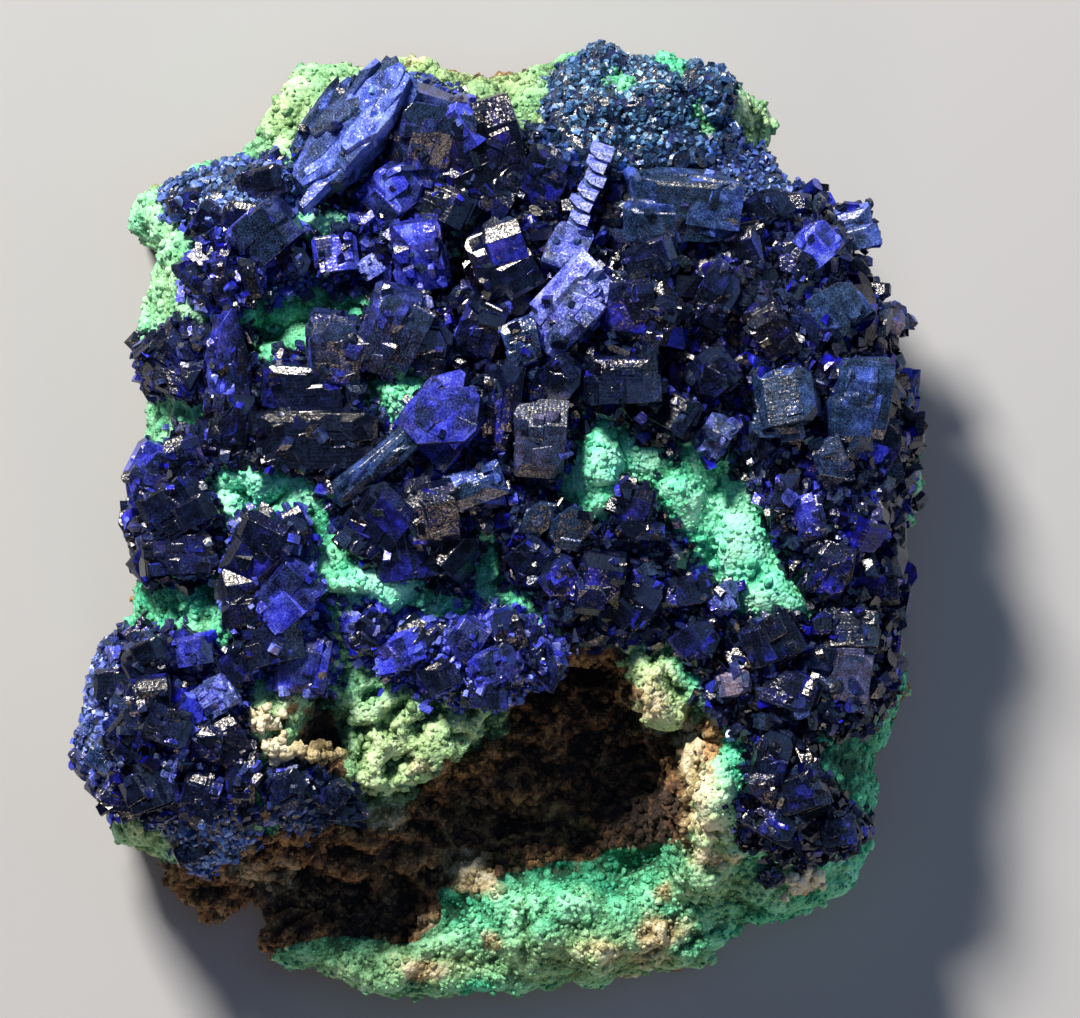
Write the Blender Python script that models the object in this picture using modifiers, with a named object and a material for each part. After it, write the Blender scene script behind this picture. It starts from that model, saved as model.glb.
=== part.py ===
"""Azurite on malachite-coated gossan: a matrix rock with separate azurite crystal groups grown on it.

The rock lies on its trimmed back, crystals up. The frame's origin is under the middle of its box, +Z is up
and +Y runs from the broken ledge and its hollow to the malachite crest. Numbers in the tables are millimetres.
"""

import math
import random

import bmesh
import bpy
from mathutils import Matrix, Vector
from mathutils.bvhtree import BVHTree

MM = 0.001

# Driving dimensions, in millimetres.
ROCK_VOXEL = 1.1
FINE_TRIANGLES = 3300
ROCK_TRIANGLES = 2500
CRUST_TRIANGLES = 1000
GROUP_SHARE = 0.50
CRUST_THICKNESS = 1.4
SEAT_GAP = 0.35

# Outlines seen from above, anticlockwise from the crest's left end.
SILHOUETTE = [
    (-18.5, 39), (-14.5, 42.5), (-10, 42), (-4, 40.8), (0.5, 40), (3, 41), (7, 42.5), (11.5, 41), (17, 39),
    (20.5, 37.5), (23, 35.5), (21.5, 33), (25.5, 30), (29.5, 27), (32.5, 20), (34.5, 17), (37.5, 11), (36.5, 7.5),
    (35.5, 0), (35, -6.5), (35.5, -14), (33, -20.5), (33, -24), (32, -29), (27, -32), (20, -34.5), (17, -35),
    (13.5, -39), (8, -41.5), (0, -42.5), (-7, -41.5), (-13, -39), (-20, -36.5), (-23, -34.5), (-26.5, -35.5),
    (-29, -35.5), (-31.5, -31), (-37, -26), (-37.5, -18.5), (-37, -11), (-33, -8.5), (-34, 0), (-33, 6),
    (-32.5, 13), (-32, 21), (-29, 23.5), (-33, 27), (-32.5, 29.5), (-28, 32), (-21.5, 34),
]
SHELF = [
    (-17, 38), (-14.5, 41), (-7, 40), (-1, 38.5), (4.5, 40), (9.5, 41.5), (15.5, 38.5), (21, 35.5), (24, 30.5),
    (28, 27), (31, 21), (33.5, 16.5), (35, 11), (34.5, 5), (33.5, -8), (33.5, -15), (32, -20.5), (31, -28),
    (25.5, -29), (20.5, -28), (19, -24), (18, -19.5), (16, -17.5), (12, -12), (9, -10), (6.5, -10.5), (4, -13.5),
    (-2, -18), (-6, -21), (-9.5, -25), (-12, -26.5), (-16.5, -26), (-24.5, -28.5), (-28, -29.5), (-31.5, -28.5),
    (-35.5, -26.5), (-37, -15), (-36.5, -11), (-32.5, -9), (-33, -1), (-32, 8.5), (-31, 21), (-28, 23),
    (-31.5, 27), (-31, 29), (-23, 32), (-20, 34.5),
]

# The rock's layers: outline, its share of full size, lowest and highest height.
LAYERS = [
    (SILHOUETTE, 0.86, -3.0, 5.0),
    (SILHOUETTE, 0.975, 2.5, 8.5),
    (SHELF, 0.985, 7.0, 16.5),
    (SHELF, 0.90, 15.0, 20.5),
]

# Swellings and hollows: centre x, y, z, then half-lengths along x, y, z.
SWELLINGS = [
    (6, 13, 18.5, 27, 22, 6.5),
    (-14, 33, 15.5, 9, 6.5, 6.5),
    (12, 36, 14.5, 10, 5, 6.5),
    (-25, 19, 15.0, 7, 13, 6.5),
    (-30, -19, 14.5, 7, 8, 8.0),
    (-18, -2, 17.0, 13, 13, 5.5),
    (24, 0, 16.5, 9, 21, 6.5),
    (-3, -13, 15.5, 12, 6, 6.5),
    (25, -24, 13.0, 7, 6, 6.5),
    (17, -23, 11.5, 3.5, 10, 7.5),
    (6, -35, 6.5, 14, 5.5, 5.5),
    (-8, -37, 5.5, 9, 4.5, 4.5),
    (22, -31, 7.5, 9, 3.5, 5.5),
    (20.5, 35.5, 13.0, 2.6, 2.4, 2.6),
    (-18, -37, 5.0, 5, 2.5, 3.0),
    (13.6, -15.0, 14.5, 3.2, 3.4, 4.6),
]
HOLLOWS = [
    (6, -20, 16.0, 9.5, 8.5, 10.5),
    (-4, -27, 14.5, 12, 5.5, 9.0),
    (-18, -32.5, 14.5, 12, 5.0, 9.5),
    (5, -15, 10.5, 9, 6.5, 4.8),
    (-9, -24, 10.0, 8, 5.5, 3.8),
    (-27, -34, 14.0, 8, 4.5, 9.0),
    (-6.5, 21.5, 22.5, 5.5, 2.6, 3.6),
    (-13, 19.5, 21.5, 6, 1.8, 3.2),
    (-20.5, 17.5, 20.0, 4.5, 2.2, 4.0),
    (-3, 25, 22.5, 1.8, 4, 3.6),
    (0.8, 31, 21.5, 1.6, 5, 3.4),
    (9, 5, 23.5, 2.8, 3, 3.0),
    (19, 0.5, 23.5, 2.6, 8, 3.6),
    (-22, 3, 20.0, 4.8, 2.2, 3.6),
    (-9, -6, 20.5, 7, 1.9, 3.2),
    (-1.5, -2.5, 21.5, 1.6, 3.5, 3.2),
    (-8, 11.5, 22.5, 2, 2, 2.6),
    (17.3, -18.6, 17.0, 1.8, 1.7, 5.0),
    (-18.5, -22.5, 18.0, 2.6, 1.8, 4.5),
]


# Crystal beds: each group's outline seen from above and the lowest height that its crust reaches.
BEDS = {
    "azurite_blades": (13.0, [
        (-18.5, 29), (-18, 33), (-15.5, 38), (-12, 40), (-7.5, 39.5), (-3.5, 37.5), (0, 36), (1, 33), (0.5, 29),
        (-2, 27.5), (-5, 27), (-5, 23.5), (-6, 20.5), (-11, 20.7), (-16.4, 21), (-16.5, 25), (-14, 26.5),
        (-14.5, 27.5), (-17.5, 28),
    ]),
    "azurite_crust": (12.5, [
        (-16, 19), (-14, 18), (-10, 19.4), (-6.8, 19.4), (-5.4, 21), (-4.3, 23), (-4, 26), (-1.5, 26.9),
        (1.2, 28.5), (2, 33), (1, 35.5), (3, 35.5), (3, 39), (5, 41.5), (8, 42.8), (12, 41), (16, 39.5),
        (17.5, 37), (20.5, 34), (23, 32), (26, 30), (32.2, 28), (32.2, 24.5), (33, 21), (35.5, 18), (37.5, 12.5),
        (36.6, 8.5), (36, 5), (35, 0), (35.5, -6.5), (36, -11.5), (33.5, -15), (31.5, -17.5), (27, -18.4),
        (26.5, -20.5), (29.5, -24), (32.5, -26.5), (29.5, -29), (25.5, -29.5), (20.5, -28), (19.5, -24),
        (21, -23), (20.3, -18), (18, -16), (16.5, -14), (15.5, -11.5), (13.5, -10), (9, -10), (5.5, -10.5),
        (4.5, -8), (2, -6.4), (-0.5, -5), (-0.3, -1.5), (-1.2, 0.6), (-2.6, 0.2), (-3, -3), (-3.5, -6), (-7, -5),
        (-11, -4), (-14.5, -1.5), (-16, 0), (-15.5, 2), (-17.5, 4), (-21.5, 6), (-26.5, 5.5), (-26.5, 10.4),
        (-22.5, 10.9), (-21.5, 15), (-17, 15.5),
    ]),
    "azurite_shoulder": (13.0, [
        (-31.5, 30.5), (-27, 32), (-23, 32.5), (-19.5, 33), (-19, 29), (-18.5, 25.5), (-17.5, 23.5), (-17, 21),
        (-21.5, 20), (-24, 19.2), (-28, 20), (-29.5, 22.5), (-30.5, 26),
    ]),
    "azurite_knot": (12.5, [
        (-34, 17), (-30.5, 18.5), (-26, 18.5), (-22.5, 17.5), (-22.5, 15.5), (-23.5, 11.5), (-26.5, 11),
        (-30, 10.8), (-33.5, 12.5),
    ]),
    "azurite_rosette": (10.5, [
        (-31.5, 7.5), (-29.5, 9), (-27, 8.5), (-26.5, 4.5), (-26, 2.5), (-25.6, 0), (-25.6, -4), (-28.5, -5),
        (-31.5, -5), (-34.5, -3.5), (-35.5, 0), (-34.5, 4),
    ]),
    "azurite_column": (12.0, [
        (-24.5, 0.5), (-21.5, 0.8), (-18.5, 1.5), (-17, -1), (-17, -4.5), (-16.5, -7), (-15.5, -10.5),
        (-15, -14), (-18.5, -14.5), (-21.5, -13.5), (-23.3, -10.5), (-25, -6.5), (-25, -3),
    ]),
    "azurite_brow": (13.5, [
        (-15, -6), (-11, -7), (-7, -8), (-4, -7.5), (-1, -6.2), (1.2, -7.2), (4, -9), (5, -11), (4.5, -14),
        (1.5, -16), (-6, -15.5), (-10, -14), (-14, -11.5),
    ]),
    "azurite_lobe": (9.0, [
        (-37.5, -10.5), (-33, -8.5), (-28, -9), (-24.2, -11), (-22.6, -14), (-22.1, -18.5), (-23, -23),
        (-22.1, -25.5), (-23, -28), (-27, -30.8), (-30.5, -30), (-35, -28.5), (-38, -25), (-39, -18.5),
        (-39, -14),
    ]),
    "azurite_shelf": (11.0, [
        (-21.5, -20.3), (-16.5, -21), (-13, -24), (-13, -26), (-18.5, -27), (-21.5, -26),
    ]),
}
# Bare malachite inside the beds.
WINDOWS = [
    [(7, 8), (11.5, 5.5), (11.5, 4), (9, 2), (7, 1.5), (6, 3.5)],
    [
        (15.5, 7.5), (17.5, 7), (19, 3.5), (21, -1), (23.5, -4.5), (25, -7), (23.5, -7.5), (20.5, -6.5),
        (18, -3), (15.5, 0), (14, 2.5), (13.5, 4.5), (15.5, 5),
    ],
    [(-10.5, 12.5), (-7, 13), (-6, 11.5), (-7.5, 10), (-9.5, 9.5)],
]

# Crystal habits: planes that cut a cube of half-width 1, each a normal and the distance at which it cuts.
HABITS = {
    "block": [((1, 0, 1), 1.45), ((-1, 0, 1), 1.72), ((0, 1, 1), 1.75), ((1, 1, 0), 1.72), ((-1, 1, 0), 1.85)],
    "blade": [
        ((1, 1, 0), 1.15), ((1, -1, 0), 1.3), ((-1, 1, 0), 1.35), ((-1, -1, 0), 1.2), ((0, 1, 1), 1.6),
        ((0, -1, 1), 1.65),
    ],
    "prism": [
        ((0, 1, 1), 1.25), ((0, -1, 1), 1.3), ((0, 1, -1), 1.3), ((0, -1, -1), 1.25), ((1, 0, 1), 1.4),
        ((-1, 0, 1), 1.7),
    ],
    "wedge": [((0.7, 0, 1), 1.05), ((1, 1, 0), 1.55), ((1, -1, 0), 1.6), ((-1, 0.4, 1), 1.7)],
    "rhomb": [((1, 1, 0), 1.05), ((-1, -1, 0), 1.1), ((1, -1, 0.3), 1.7), ((-1, 1, 0.3), 1.75)],
}
CRYSTAL_SHEAR = 0.14
FILLER_SPACING = 4.1
FILLER_LENGTH = (2.8, 4.4)
FILLER_LIFT = 1.5
RAISE = 0.6

# The crystals that give each group its look: x, y, length, width, thickness, azimuth, tilt and roll in degrees,
# habit, and the height of the crystal's middle above the rock.
CRYSTALS = {
    "azurite_blades": [
        (-13.8, 34.4, 13, 5, 3, 49, 14, -28, "blade", 2.2),
        (-16.4, 35.9, 7.5, 2.1, 1.4, 52, 16, -20, "blade", 1.6),
        (-7.5, 33.1, 9, 6, 4.5, 72, 30, 16, "block", 2),
        (-2.4, 32.9, 8.5, 6, 5, 112, 28, 8, "block", 1.8),
        (-4.8, 35, 4.5, 4, 4, 30, 20, 10, "block", 3.4),
        (-10.1, 29.6, 5, 4, 3, 35, 34, 0, "wedge", 1.8),
        (-5.6, 28.3, 4.5, 3, 2.6, -25, 22, 0, "block", 1.4),
        (-8, 23.8, 6, 4, 3, 98, 26, 0, "prism", 2.4),
        (-15.1, 23.8, 3.5, 3, 2.3, 8, 10, -10, "block", 1.2),
        (-12.2, 22.8, 1.7, 1.6, 1.6, 30, 20, 10, "block", 2),
        (-10.8, 38, 4, 2.3, 1.8, 20, 12, -10, "wedge", 1.6),
        (-0.9, 29.7, 4, 3, 2.6, 60, 20, 0, "wedge", 1.2),
    ],
    "azurite_crust": [
        (-15.4, 15.3, 6, 4, 3.5, 92, 26, 0, "block", 1.6),
        (-10.4, 17, 6.5, 5, 4, 62, 26, 6, "block", 2),
        (-18.3, 11.9, 6, 4.5, 3, 4, 4, 12, "block", 1.4),
        (-24.3, 8.2, 6, 3.5, 3, 84, 22, 0, "prism", 1.4),
        (-17.2, 7.9, 10, 4.5, 4, 0, 4, 10, "block", 1.2),
        (-11.5, 5.7, 9, 2.2, 2.3, 38, 10, 0, "prism", 2.4),
        (-5.7, 9.6, 6.5, 5.5, 3.5, 44, 10, -6, "rhomb", 2.6),
        (-3.1, 3.6, 5, 3, 2.6, 20, 10, 0, "prism", 1.8),
        (-11, 1.4, 5.5, 4.5, 4, 55, 30, 0, "block", 1.8),
        (-6.8, 1.4, 5, 4, 4, 100, 28, 0, "block", 2.4),
        (-8.9, -2.4, 6, 4.5, 4, 10, 16, 10, "wedge", 1.8),
        (-5.2, -2.1, 4, 3.5, 3.5, -40, 24, 0, "block", 1.6),
        (-12.4, -1.4, 4.5, 3.5, 3, 140, 24, 0, "wedge", 1.2),
        (-7.6, 19.2, 1.7, 1.6, 1.6, 12, 10, 8, "block", 2.2),
        (-7.4, 15.4, 4.5, 3.5, 3, 80, 30, 0, "wedge", 1.4),
        (-19.2, 9.1, 3.5, 2.3, 2.3, 70, 40, 0, "wedge", 1.6),
        (5.4, 19.1, 8, 4.5, 4, 45, 14, -14, "prism", 3),
        (10.1, 19.2, 4.5, 3.5, 3, 80, 22, 10, "block", 1.8),
        (6.4, 28.3, 9, 1.9, 2.1, 69, 14, 0, "prism", 2.4),
        (5.1, 24.3, 3.5, 3, 2.4, 66, 8, 0, "block", 2.4),
        (15.2, 28.2, 8.5, 5, 3.5, -4, 3, 22, "block", 2.8),
        (25.9, 28.3, 4.5, 2.4, 2.3, 36, 10, 0, "prism", 1.4),
        (29, 26.1, 4.5, 3.5, 2.6, 14, 6, 0, "prism", 1.6),
        (26.4, 24.5, 4.5, 3, 2.6, 40, 12, 10, "block", 1.6),
        (24.9, 23.3, 2.8, 2.1, 1.9, -30, 16, 0, "wedge", 1.4),
        (31.3, 21.1, 2.6, 1.8, 1.8, 5, 8, 0, "block", 1),
        (33.5, 18.4, 2.8, 2.1, 1.8, 10, 8, 0, "block", 1),
        (24.1, 11.2, 5, 4.5, 3.5, 12, 18, -10, "block", 2.4),
        (23.3, 9.1, 4, 1.9, 1.9, 4, 8, 0, "prism", 2.2),
        (18.7, 6.6, 3.5, 2.4, 2.4, 60, 40, 0, "prism", 2),
        (30.5, 11.3, 6, 4.5, 3.5, 80, 16, 14, "block", 1.8),
        (34.5, 11.4, 5, 3, 2.6, 86, 10, 0, "prism", 1),
        (23.2, 2.4, 4.5, 1.9, 1.9, 84, 20, 0, "prism", 1.8),
        (31.9, 1.9, 3.5, 1.4, 1.4, 90, 12, 0, "prism", 1.2),
        (30.6, 0.8, 2.8, 1.3, 1.3, 90, 12, 0, "prism", 1.2),
        (26.2, 1, 3.5, 2.3, 2.1, 102, 16, 0, "block", 1.6),
        (29.7, -8.9, 4.5, 3, 2.4, 0, 6, -8, "block", 1.6),
        (29.7, -12.7, 5, 3.5, 3, 82, 6, 0, "block", 1.4),
        (19.6, -13.6, 2.6, 1.8, 1.8, 10, 12, 0, "block", 1.2),
        (18.5, -6.3, 2.6, 2.1, 2.1, 30, 60, 0, "prism", 1.4),
        (15.7, -5.4, 4, 2.4, 2.4, 8, 14, 0, "wedge", 1.4),
        (9.8, 2.5, 5, 3.5, 3.5, 70, 16, 0, "block", 1.8),
        (5.2, 0, 4, 3, 1.4, 75, 34, 0, "blade", 2.2),
        (2.6, 0.9, 3, 2.3, 1.2, 80, 34, 0, "blade", 2.2),
        (12, -0.3, 2.8, 1.3, 1.4, 0, 10, 0, "prism", 1.8),
        (2.7, 7.5, 6, 4, 3.5, 86, 16, 0, "block", 2.4),
        (-0.8, 10.5, 7.5, 3, 3, 86, 24, 0, "prism", 2),
        (9.8, 13, 5.5, 3.5, 3, 0, 4, 10, "block", 2.4),
        (0.9, 16.3, 3.5, 2.6, 2.4, 110, 16, 0, "block", 2.6),
        (-0.9, 23.3, 5.5, 4.5, 4, 110, 26, 0, "block", 1.6),
        (3.1, 30.6, 4.5, 3.5, 3, 60, 26, 0, "block", 1.4),
        (12.2, 23.3, 4.5, 3, 2.6, 20, 20, 0, "wedge", 1.4),
        (18, 20.1, 5, 3, 2.8, 60, 26, 0, "wedge", 1.6),
        (13.1, 18.2, 4, 2.4, 2.3, 70, 26, 0, "wedge", 1.8),
        (21.9, 27.8, 4.5, 2.6, 2.4, 30, 18, 0, "wedge", 1.4),
        (20.6, 24.3, 4, 2.6, 2.4, 100, 20, 0, "block", 1.4),
        (28.2, 19.1, 4.5, 3, 2.6, 30, 18, 0, "wedge", 1.4),
        (22.8, 17.3, 4, 2.8, 2.6, 120, 26, 0, "block", 1.6),
        (17.7, 13.6, 4.5, 3.5, 3, 40, 26, 0, "wedge", 1.6),
        (14.2, 9.4, 4, 3, 2.6, -30, 24, 0, "block", 1.6),
        (28, 5.9, 4, 2.6, 2.4, 110, 20, 0, "wedge", 1.4),
        (32.4, 6.8, 4, 2.8, 2.4, 60, 18, 0, "block", 1.2),
        (16.6, -9.8, 3.5, 2.8, 2.6, 30, 24, 0, "wedge", 1.2),
        (22.8, -9.8, 4.5, 3.5, 3, 20, 20, 0, "block", 1.4),
        (24.5, -14.2, 4.5, 3, 2.8, -20, 20, 0, "wedge", 1.4),
        (28, -3.7, 4.5, 3, 2.6, 70, 20, 0, "block", 1.4),
        (32.4, -4.5, 4, 2.6, 2.4, 100, 14, 0, "wedge", 1),
        (7.9, -4.5, 5, 3.5, 3, 80, 26, 0, "block", 1.8),
        (4.4, -4.5, 4, 3, 2.6, 120, 26, 0, "wedge", 1.6),
        (11.4, -6.3, 4.5, 3, 2.6, 60, 24, 0, "wedge", 1.4),
        (1.8, -2.4, 3.5, 2.6, 2.4, 40, 26, 0, "block", 1.6),
        (-2.6, 17.3, 4.5, 3.5, 3.5, 70, 26, 0, "block", 1.4),
        (4.4, 12.9, 4, 3, 2.8, 50, 26, 0, "wedge", 1.6),
        (22.9, -19.8, 4, 2.8, 2.6, 70, 20, 0, "wedge", 1.2),
        (25.4, -23.1, 4, 3, 2.6, 20, 18, 0, "block", 1.2),
        (22.9, -25.5, 4.5, 2.6, 2.4, -30, 16, 0, "wedge", 1.2),
        (28.2, -26.6, 4, 2.3, 2.1, 10, 12, 0, "block", 1),
        (22.2, -22.6, 3, 2.3, 2.1, 110, 24, 0, "block", 1.2),
    ],
    "azurite_shoulder": [
        (-26.5, 26.8, 3.5, 2.3, 1.9, 60, 24, 0, "block", 1.2),
        (-23.8, 26.9, 3.5, 2.6, 2.3, 80, 22, 0, "block", 1.4),
        (-21.2, 25.9, 5, 4, 3.5, 40, 24, 0, "block", 1.4),
        (-27.1, 21.2, 4, 1.8, 1.6, 125, 24, 0, "prism", 1.2),
        (-25, 21.3, 4.5, 1.9, 1.8, 105, 24, 0, "prism", 1.2),
        (-22.9, 21.5, 4, 1.9, 1.8, 85, 24, 0, "prism", 1.2),
        (-18.7, 23.3, 2.6, 2.3, 2.1, 30, 26, 0, "wedge", 1.2),
        (-28.3, 28.3, 3, 2.1, 1.9, 20, 16, 0, "wedge", 1),
        (-21.7, 30.1, 4, 2.6, 2.3, 20, 18, 0, "block", 1.2),
    ],
    "azurite_knot": [
        (-30.2, 15.4, 4.5, 3.5, 2.8, 40, 26, 0, "prism", 1.4),
        (-29.2, 13.1, 4, 2.8, 2.4, -20, 22, 0, "prism", 1.2),
        (-31.3, 13.6, 3.5, 2.3, 2.1, 100, 20, 0, "prism", 1),
        (-25.2, 14.5, 8, 2.3, 2.1, 86, 16, 0, "blade", 1.4),
        (-23.6, 13.6, 7, 1.8, 1.8, 92, 16, 0, "blade", 1.4),
    ],
    "azurite_rosette": [
        (-31.3, 4.4, 5, 4, 3, 70, 20, 0, "blade", 1.6),
        (-29, 1.8, 5.5, 4, 3, 30, 18, 0, "block", 1.6),
        (-28.2, 5.8, 4, 2.8, 2.4, 110, 22, 0, "block", 1.4),
        (-32.2, 0, 4.5, 3.5, 2.8, 120, 18, 0, "block", 1.4),
        (-29, -2.1, 5.5, 3.5, 2.8, 0, 12, 0, "block", 1.4),
        (-31.5, -2.8, 3.5, 2.6, 2.3, 50, 18, 0, "wedge", 1),
    ],
    "azurite_column": [
        (-21.7, -1.8, 6, 4.5, 4, 60, 24, 0, "block", 1.6),
        (-23.1, -5.6, 5, 4, 3.5, 100, 20, 0, "block", 1.4),
        (-19.4, -5.6, 5.5, 4, 3.5, 40, 20, 0, "block", 1.4),
        (-20.6, -9.6, 5, 4, 3.5, 10, 16, 0, "block", 1.2),
        (-18, -11.9, 4.5, 4, 3, 80, 10, 0, "block", 1),
        (-18.7, -0.7, 4, 2.6, 2.4, 120, 26, 0, "wedge", 1.4),
    ],
    "azurite_brow": [
        (-12.1, -8.6, 3.5, 2.4, 2.3, 60, 26, 0, "wedge", 1.2),
        (-9.6, -10.7, 4, 2.6, 2.4, 20, 20, 0, "block", 1.2),
        (-13.1, -9.8, 2.6, 1.9, 1.8, 110, 20, 0, "wedge", 1),
        (-8, -9.3, 3, 2.3, 2.1, -40, 26, 0, "wedge", 1.2),
        (-3.8, -9.8, 3.5, 2.8, 2.6, 60, 26, 0, "block", 1.4),
        (-1.4, -11.9, 4, 2.8, 2.6, 20, 20, 0, "block", 1.4),
        (-2.3, -14.5, 4, 2.3, 2.1, 0, 10, 0, "wedge", 1),
        (-0.2, -8.8, 3.5, 2.4, 2.3, 110, 26, 0, "wedge", 1.4),
        (2.3, -10.5, 3.5, 1.2, 1, 86, 10, 0, "blade", 1.6),
        (3.3, -12.6, 3, 2.1, 1.9, 70, 18, 0, "wedge", 1.2),
        (-6.1, -12.9, 3, 2.3, 2.1, 30, 16, 0, "wedge", 1),
    ],
    "azurite_lobe": [
        (-27.6, -10.7, 3, 2.4, 2.3, 10, 12, 0, "block", 1.4),
        (-24, -11.7, 3.5, 2.3, 2.1, 50, 20, 0, "block", 1.4),
        (-26, -14.9, 3.5, 2.8, 2.4, 30, 20, 0, "prism", 1.4),
        (-34.9, -13.6, 3, 2.3, 2.1, 0, 14, 0, "block", 1.2),
        (-35.6, -19.9, 2.6, 2.1, 1.9, 60, 16, 0, "block", 1.2),
        (-26.4, -18.7, 3, 2.4, 2.3, 80, 20, 0, "wedge", 1.4),
        (-29.2, -20.5, 3, 1, 1, 60, 16, 0, "prism", 1.8),
        (-31.5, -11.5, 4, 3, 2.8, 30, 24, 0, "block", 1.4),
        (-31.5, -15.5, 4.5, 3.5, 3, 100, 24, 0, "block", 1.6),
        (-29.7, -17.3, 4, 3, 2.6, -20, 20, 0, "wedge", 1.6),
        (-33.2, -17.8, 4, 3, 2.8, 50, 24, 0, "block", 1.4),
        (-24.8, -18.4, 3.5, 3, 2.4, 120, 20, 0, "block", 1.2),
        (-31.5, -22.9, 4, 3, 2.4, 20, 18, 0, "wedge", 1.4),
        (-27.1, -23.8, 4, 2.8, 2.4, 70, 18, 0, "block", 1.2),
        (-23.6, -22, 4, 2.4, 2.3, 90, 14, 0, "block", 1),
        (-34.3, -23.8, 3, 2.3, 2.1, 110, 14, 0, "wedge", 1),
        (-28, -28, 3, 2.1, 1.9, 30, 10, 0, "wedge", 0.8),
    ],
    "azurite_shelf": [
        (-19.6, -22.8, 3.5, 2.3, 2.1, 30, 16, 0, "wedge", 1),
        (-16.8, -24.8, 7.5, 2.1, 1.6, -6, 4, 0, "blade", 0.8),
        (-15.4, -23.4, 3, 1.9, 1.8, 50, 16, 0, "wedge", 1),
    ],
}


def linked(mesh_data, name):
    """A new object that holds mesh_data, in the scene."""
    obj = bpy.data.objects.new(name, mesh_data)
    bpy.context.scene.collection.objects.link(obj)
    return obj


def baked(obj):
    """obj's mesh with its modifiers and its place applied."""
    bpy.context.view_layer.update()
    graph = bpy.context.evaluated_depsgraph_get()
    mesh_data = bpy.data.meshes.new_from_object(obj.evaluated_get(graph))
    mesh_data.transform(obj.matrix_world)
    return mesh_data


def layer(outline, share, low, high):
    """A flat slab of rock: the outline as a filled curve, extruded between two heights."""
    curve = bpy.data.curves.new("layer", "CURVE")
    curve.dimensions = "2D"
    curve.fill_mode = "BOTH"
    curve.extrude = (high - low) / 2 * MM
    spline = curve.splines.new("POLY")
    spline.points.add(len(outline) - 1)
    for point, (x, y) in zip(spline.points, outline):
        point.co = (x * share * MM, y * share * MM, 0, 1)
    spline.use_cyclic_u = True
    obj = linked(curve, "layer")
    obj.location.z = (low + high) / 2 * MM
    mesh_data = baked(obj)
    bpy.data.objects.remove(obj)
    return mesh_data


def ellipsoid(x, y, z, rx, ry, rz):
    """A round lump with its centre and half-lengths in millimetres."""
    mesh_data = bpy.data.meshes.new("lump")
    work = bmesh.new()
    bmesh.ops.create_uvsphere(work, u_segments=24, v_segments=14, radius=MM)
    bmesh.ops.transform(work, matrix=Matrix.LocRotScale(Vector((x, y, z)) * MM, None, (rx, ry, rz)), verts=work.verts)
    work.to_mesh(mesh_data)
    work.free()
    return mesh_data


def merged(name, meshes):
    """One object from several closed meshes, which may overlap, with loose corners welded."""
    work = bmesh.new()
    for mesh_data in meshes:
        work.from_mesh(mesh_data)
    bmesh.ops.remove_doubles(work, verts=work.verts, dist=1e-6)
    bmesh.ops.recalc_face_normals(work, faces=work.faces)
    joined = bpy.data.meshes.new(name)
    work.to_mesh(joined)
    work.free()
    return linked(joined, name)


def add_voxels(obj, size):
    """Makes one closed skin round everything in obj."""
    remesh = obj.modifiers.new("one_skin", "REMESH")
    remesh.mode = "VOXEL"
    remesh.voxel_size = size * MM


def add_relief(obj, kind, scale, height):
    """Pushes the surface in and out by a procedural texture: scale and height in millimetres."""
    pattern = bpy.data.textures.new(kind.lower(), kind)
    pattern.noise_scale = scale * MM
    displace = obj.modifiers.new(f"relief_{scale:g}", "DISPLACE")
    displace.texture = pattern
    displace.texture_coords = "GLOBAL"
    displace.strength = height * MM
    displace.mid_level = 0.5
    return pattern


def boolean(obj, operation, other, solver="EXACT"):
    """Adds obj's Boolean with another object."""
    step = obj.modifiers.new(operation.lower(), "BOOLEAN")
    step.operation = operation
    step.solver = solver
    step.object = other


def combine(obj, operation, other):
    """Applies a Boolean at once; crystals meet each other in too many slivers for the exact solver."""
    boolean(obj, operation, other, "MANIFOLD")
    obj.data = baked(obj)
    obj.modifiers.clear()


def build_rock():
    """The rock before it is cut down to facets: layers and swellings under one skin, hollowed and weathered."""
    rock = merged("rock_core", [layer(*row) for row in LAYERS] + [ellipsoid(*row) for row in SWELLINGS])
    add_voxels(rock, ROCK_VOXEL)
    hollows = merged("rock_hollows", [ellipsoid(*row) for row in HOLLOWS])
    add_voxels(hollows, ROCK_VOXEL)
    boolean(rock, "DIFFERENCE", hollows)
    add_voxels(rock, ROCK_VOXEL)
    smooth = rock.modifiers.new("weathering", "SMOOTH")
    smooth.factor = 0.5
    smooth.iterations = 6
    add_relief(rock, "CLOUDS", 9.0, 3.0)
    add_relief(rock, "VORONOI", 4.5, 1.3)
    add_relief(rock, "CLOUDS", 2.6, 0.9)
    dense = linked(baked(rock), "rock_dense")
    bpy.data.objects.remove(rock)
    bpy.data.objects.remove(hollows)
    return dense


def cut_down(obj, triangles, group=""):
    """Reduces obj to about this many triangles, only inside a vertex group if one is named."""
    obj.data.calc_loop_triangles()
    decimate = obj.modifiers.new("facets", "DECIMATE")
    decimate.ratio = triangles / len(obj.data.loop_triangles)
    decimate.vertex_group = group
    obj.data = baked(obj)
    obj.modifiers.clear()


def faceted(obj, name, triangles):
    """A copy of obj cut down to about this many triangles."""
    copy = linked(obj.data.copy(), name)
    cut_down(copy, triangles)
    return copy


def cut_down_under_beds(obj, triangles):
    """Spends fewer triangles where crystals will hide the rock."""
    hidden = obj.vertex_groups.new(name="under_beds")
    for vertex in obj.data.vertices:
        x, y, z = vertex.co / MM
        if any(z > floor and inside(outline, x, y) for floor, outline in BEDS.values()):
            hidden.add([vertex.index], 1.0, "REPLACE")
    cut_down(obj, triangles, hidden.name)


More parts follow.
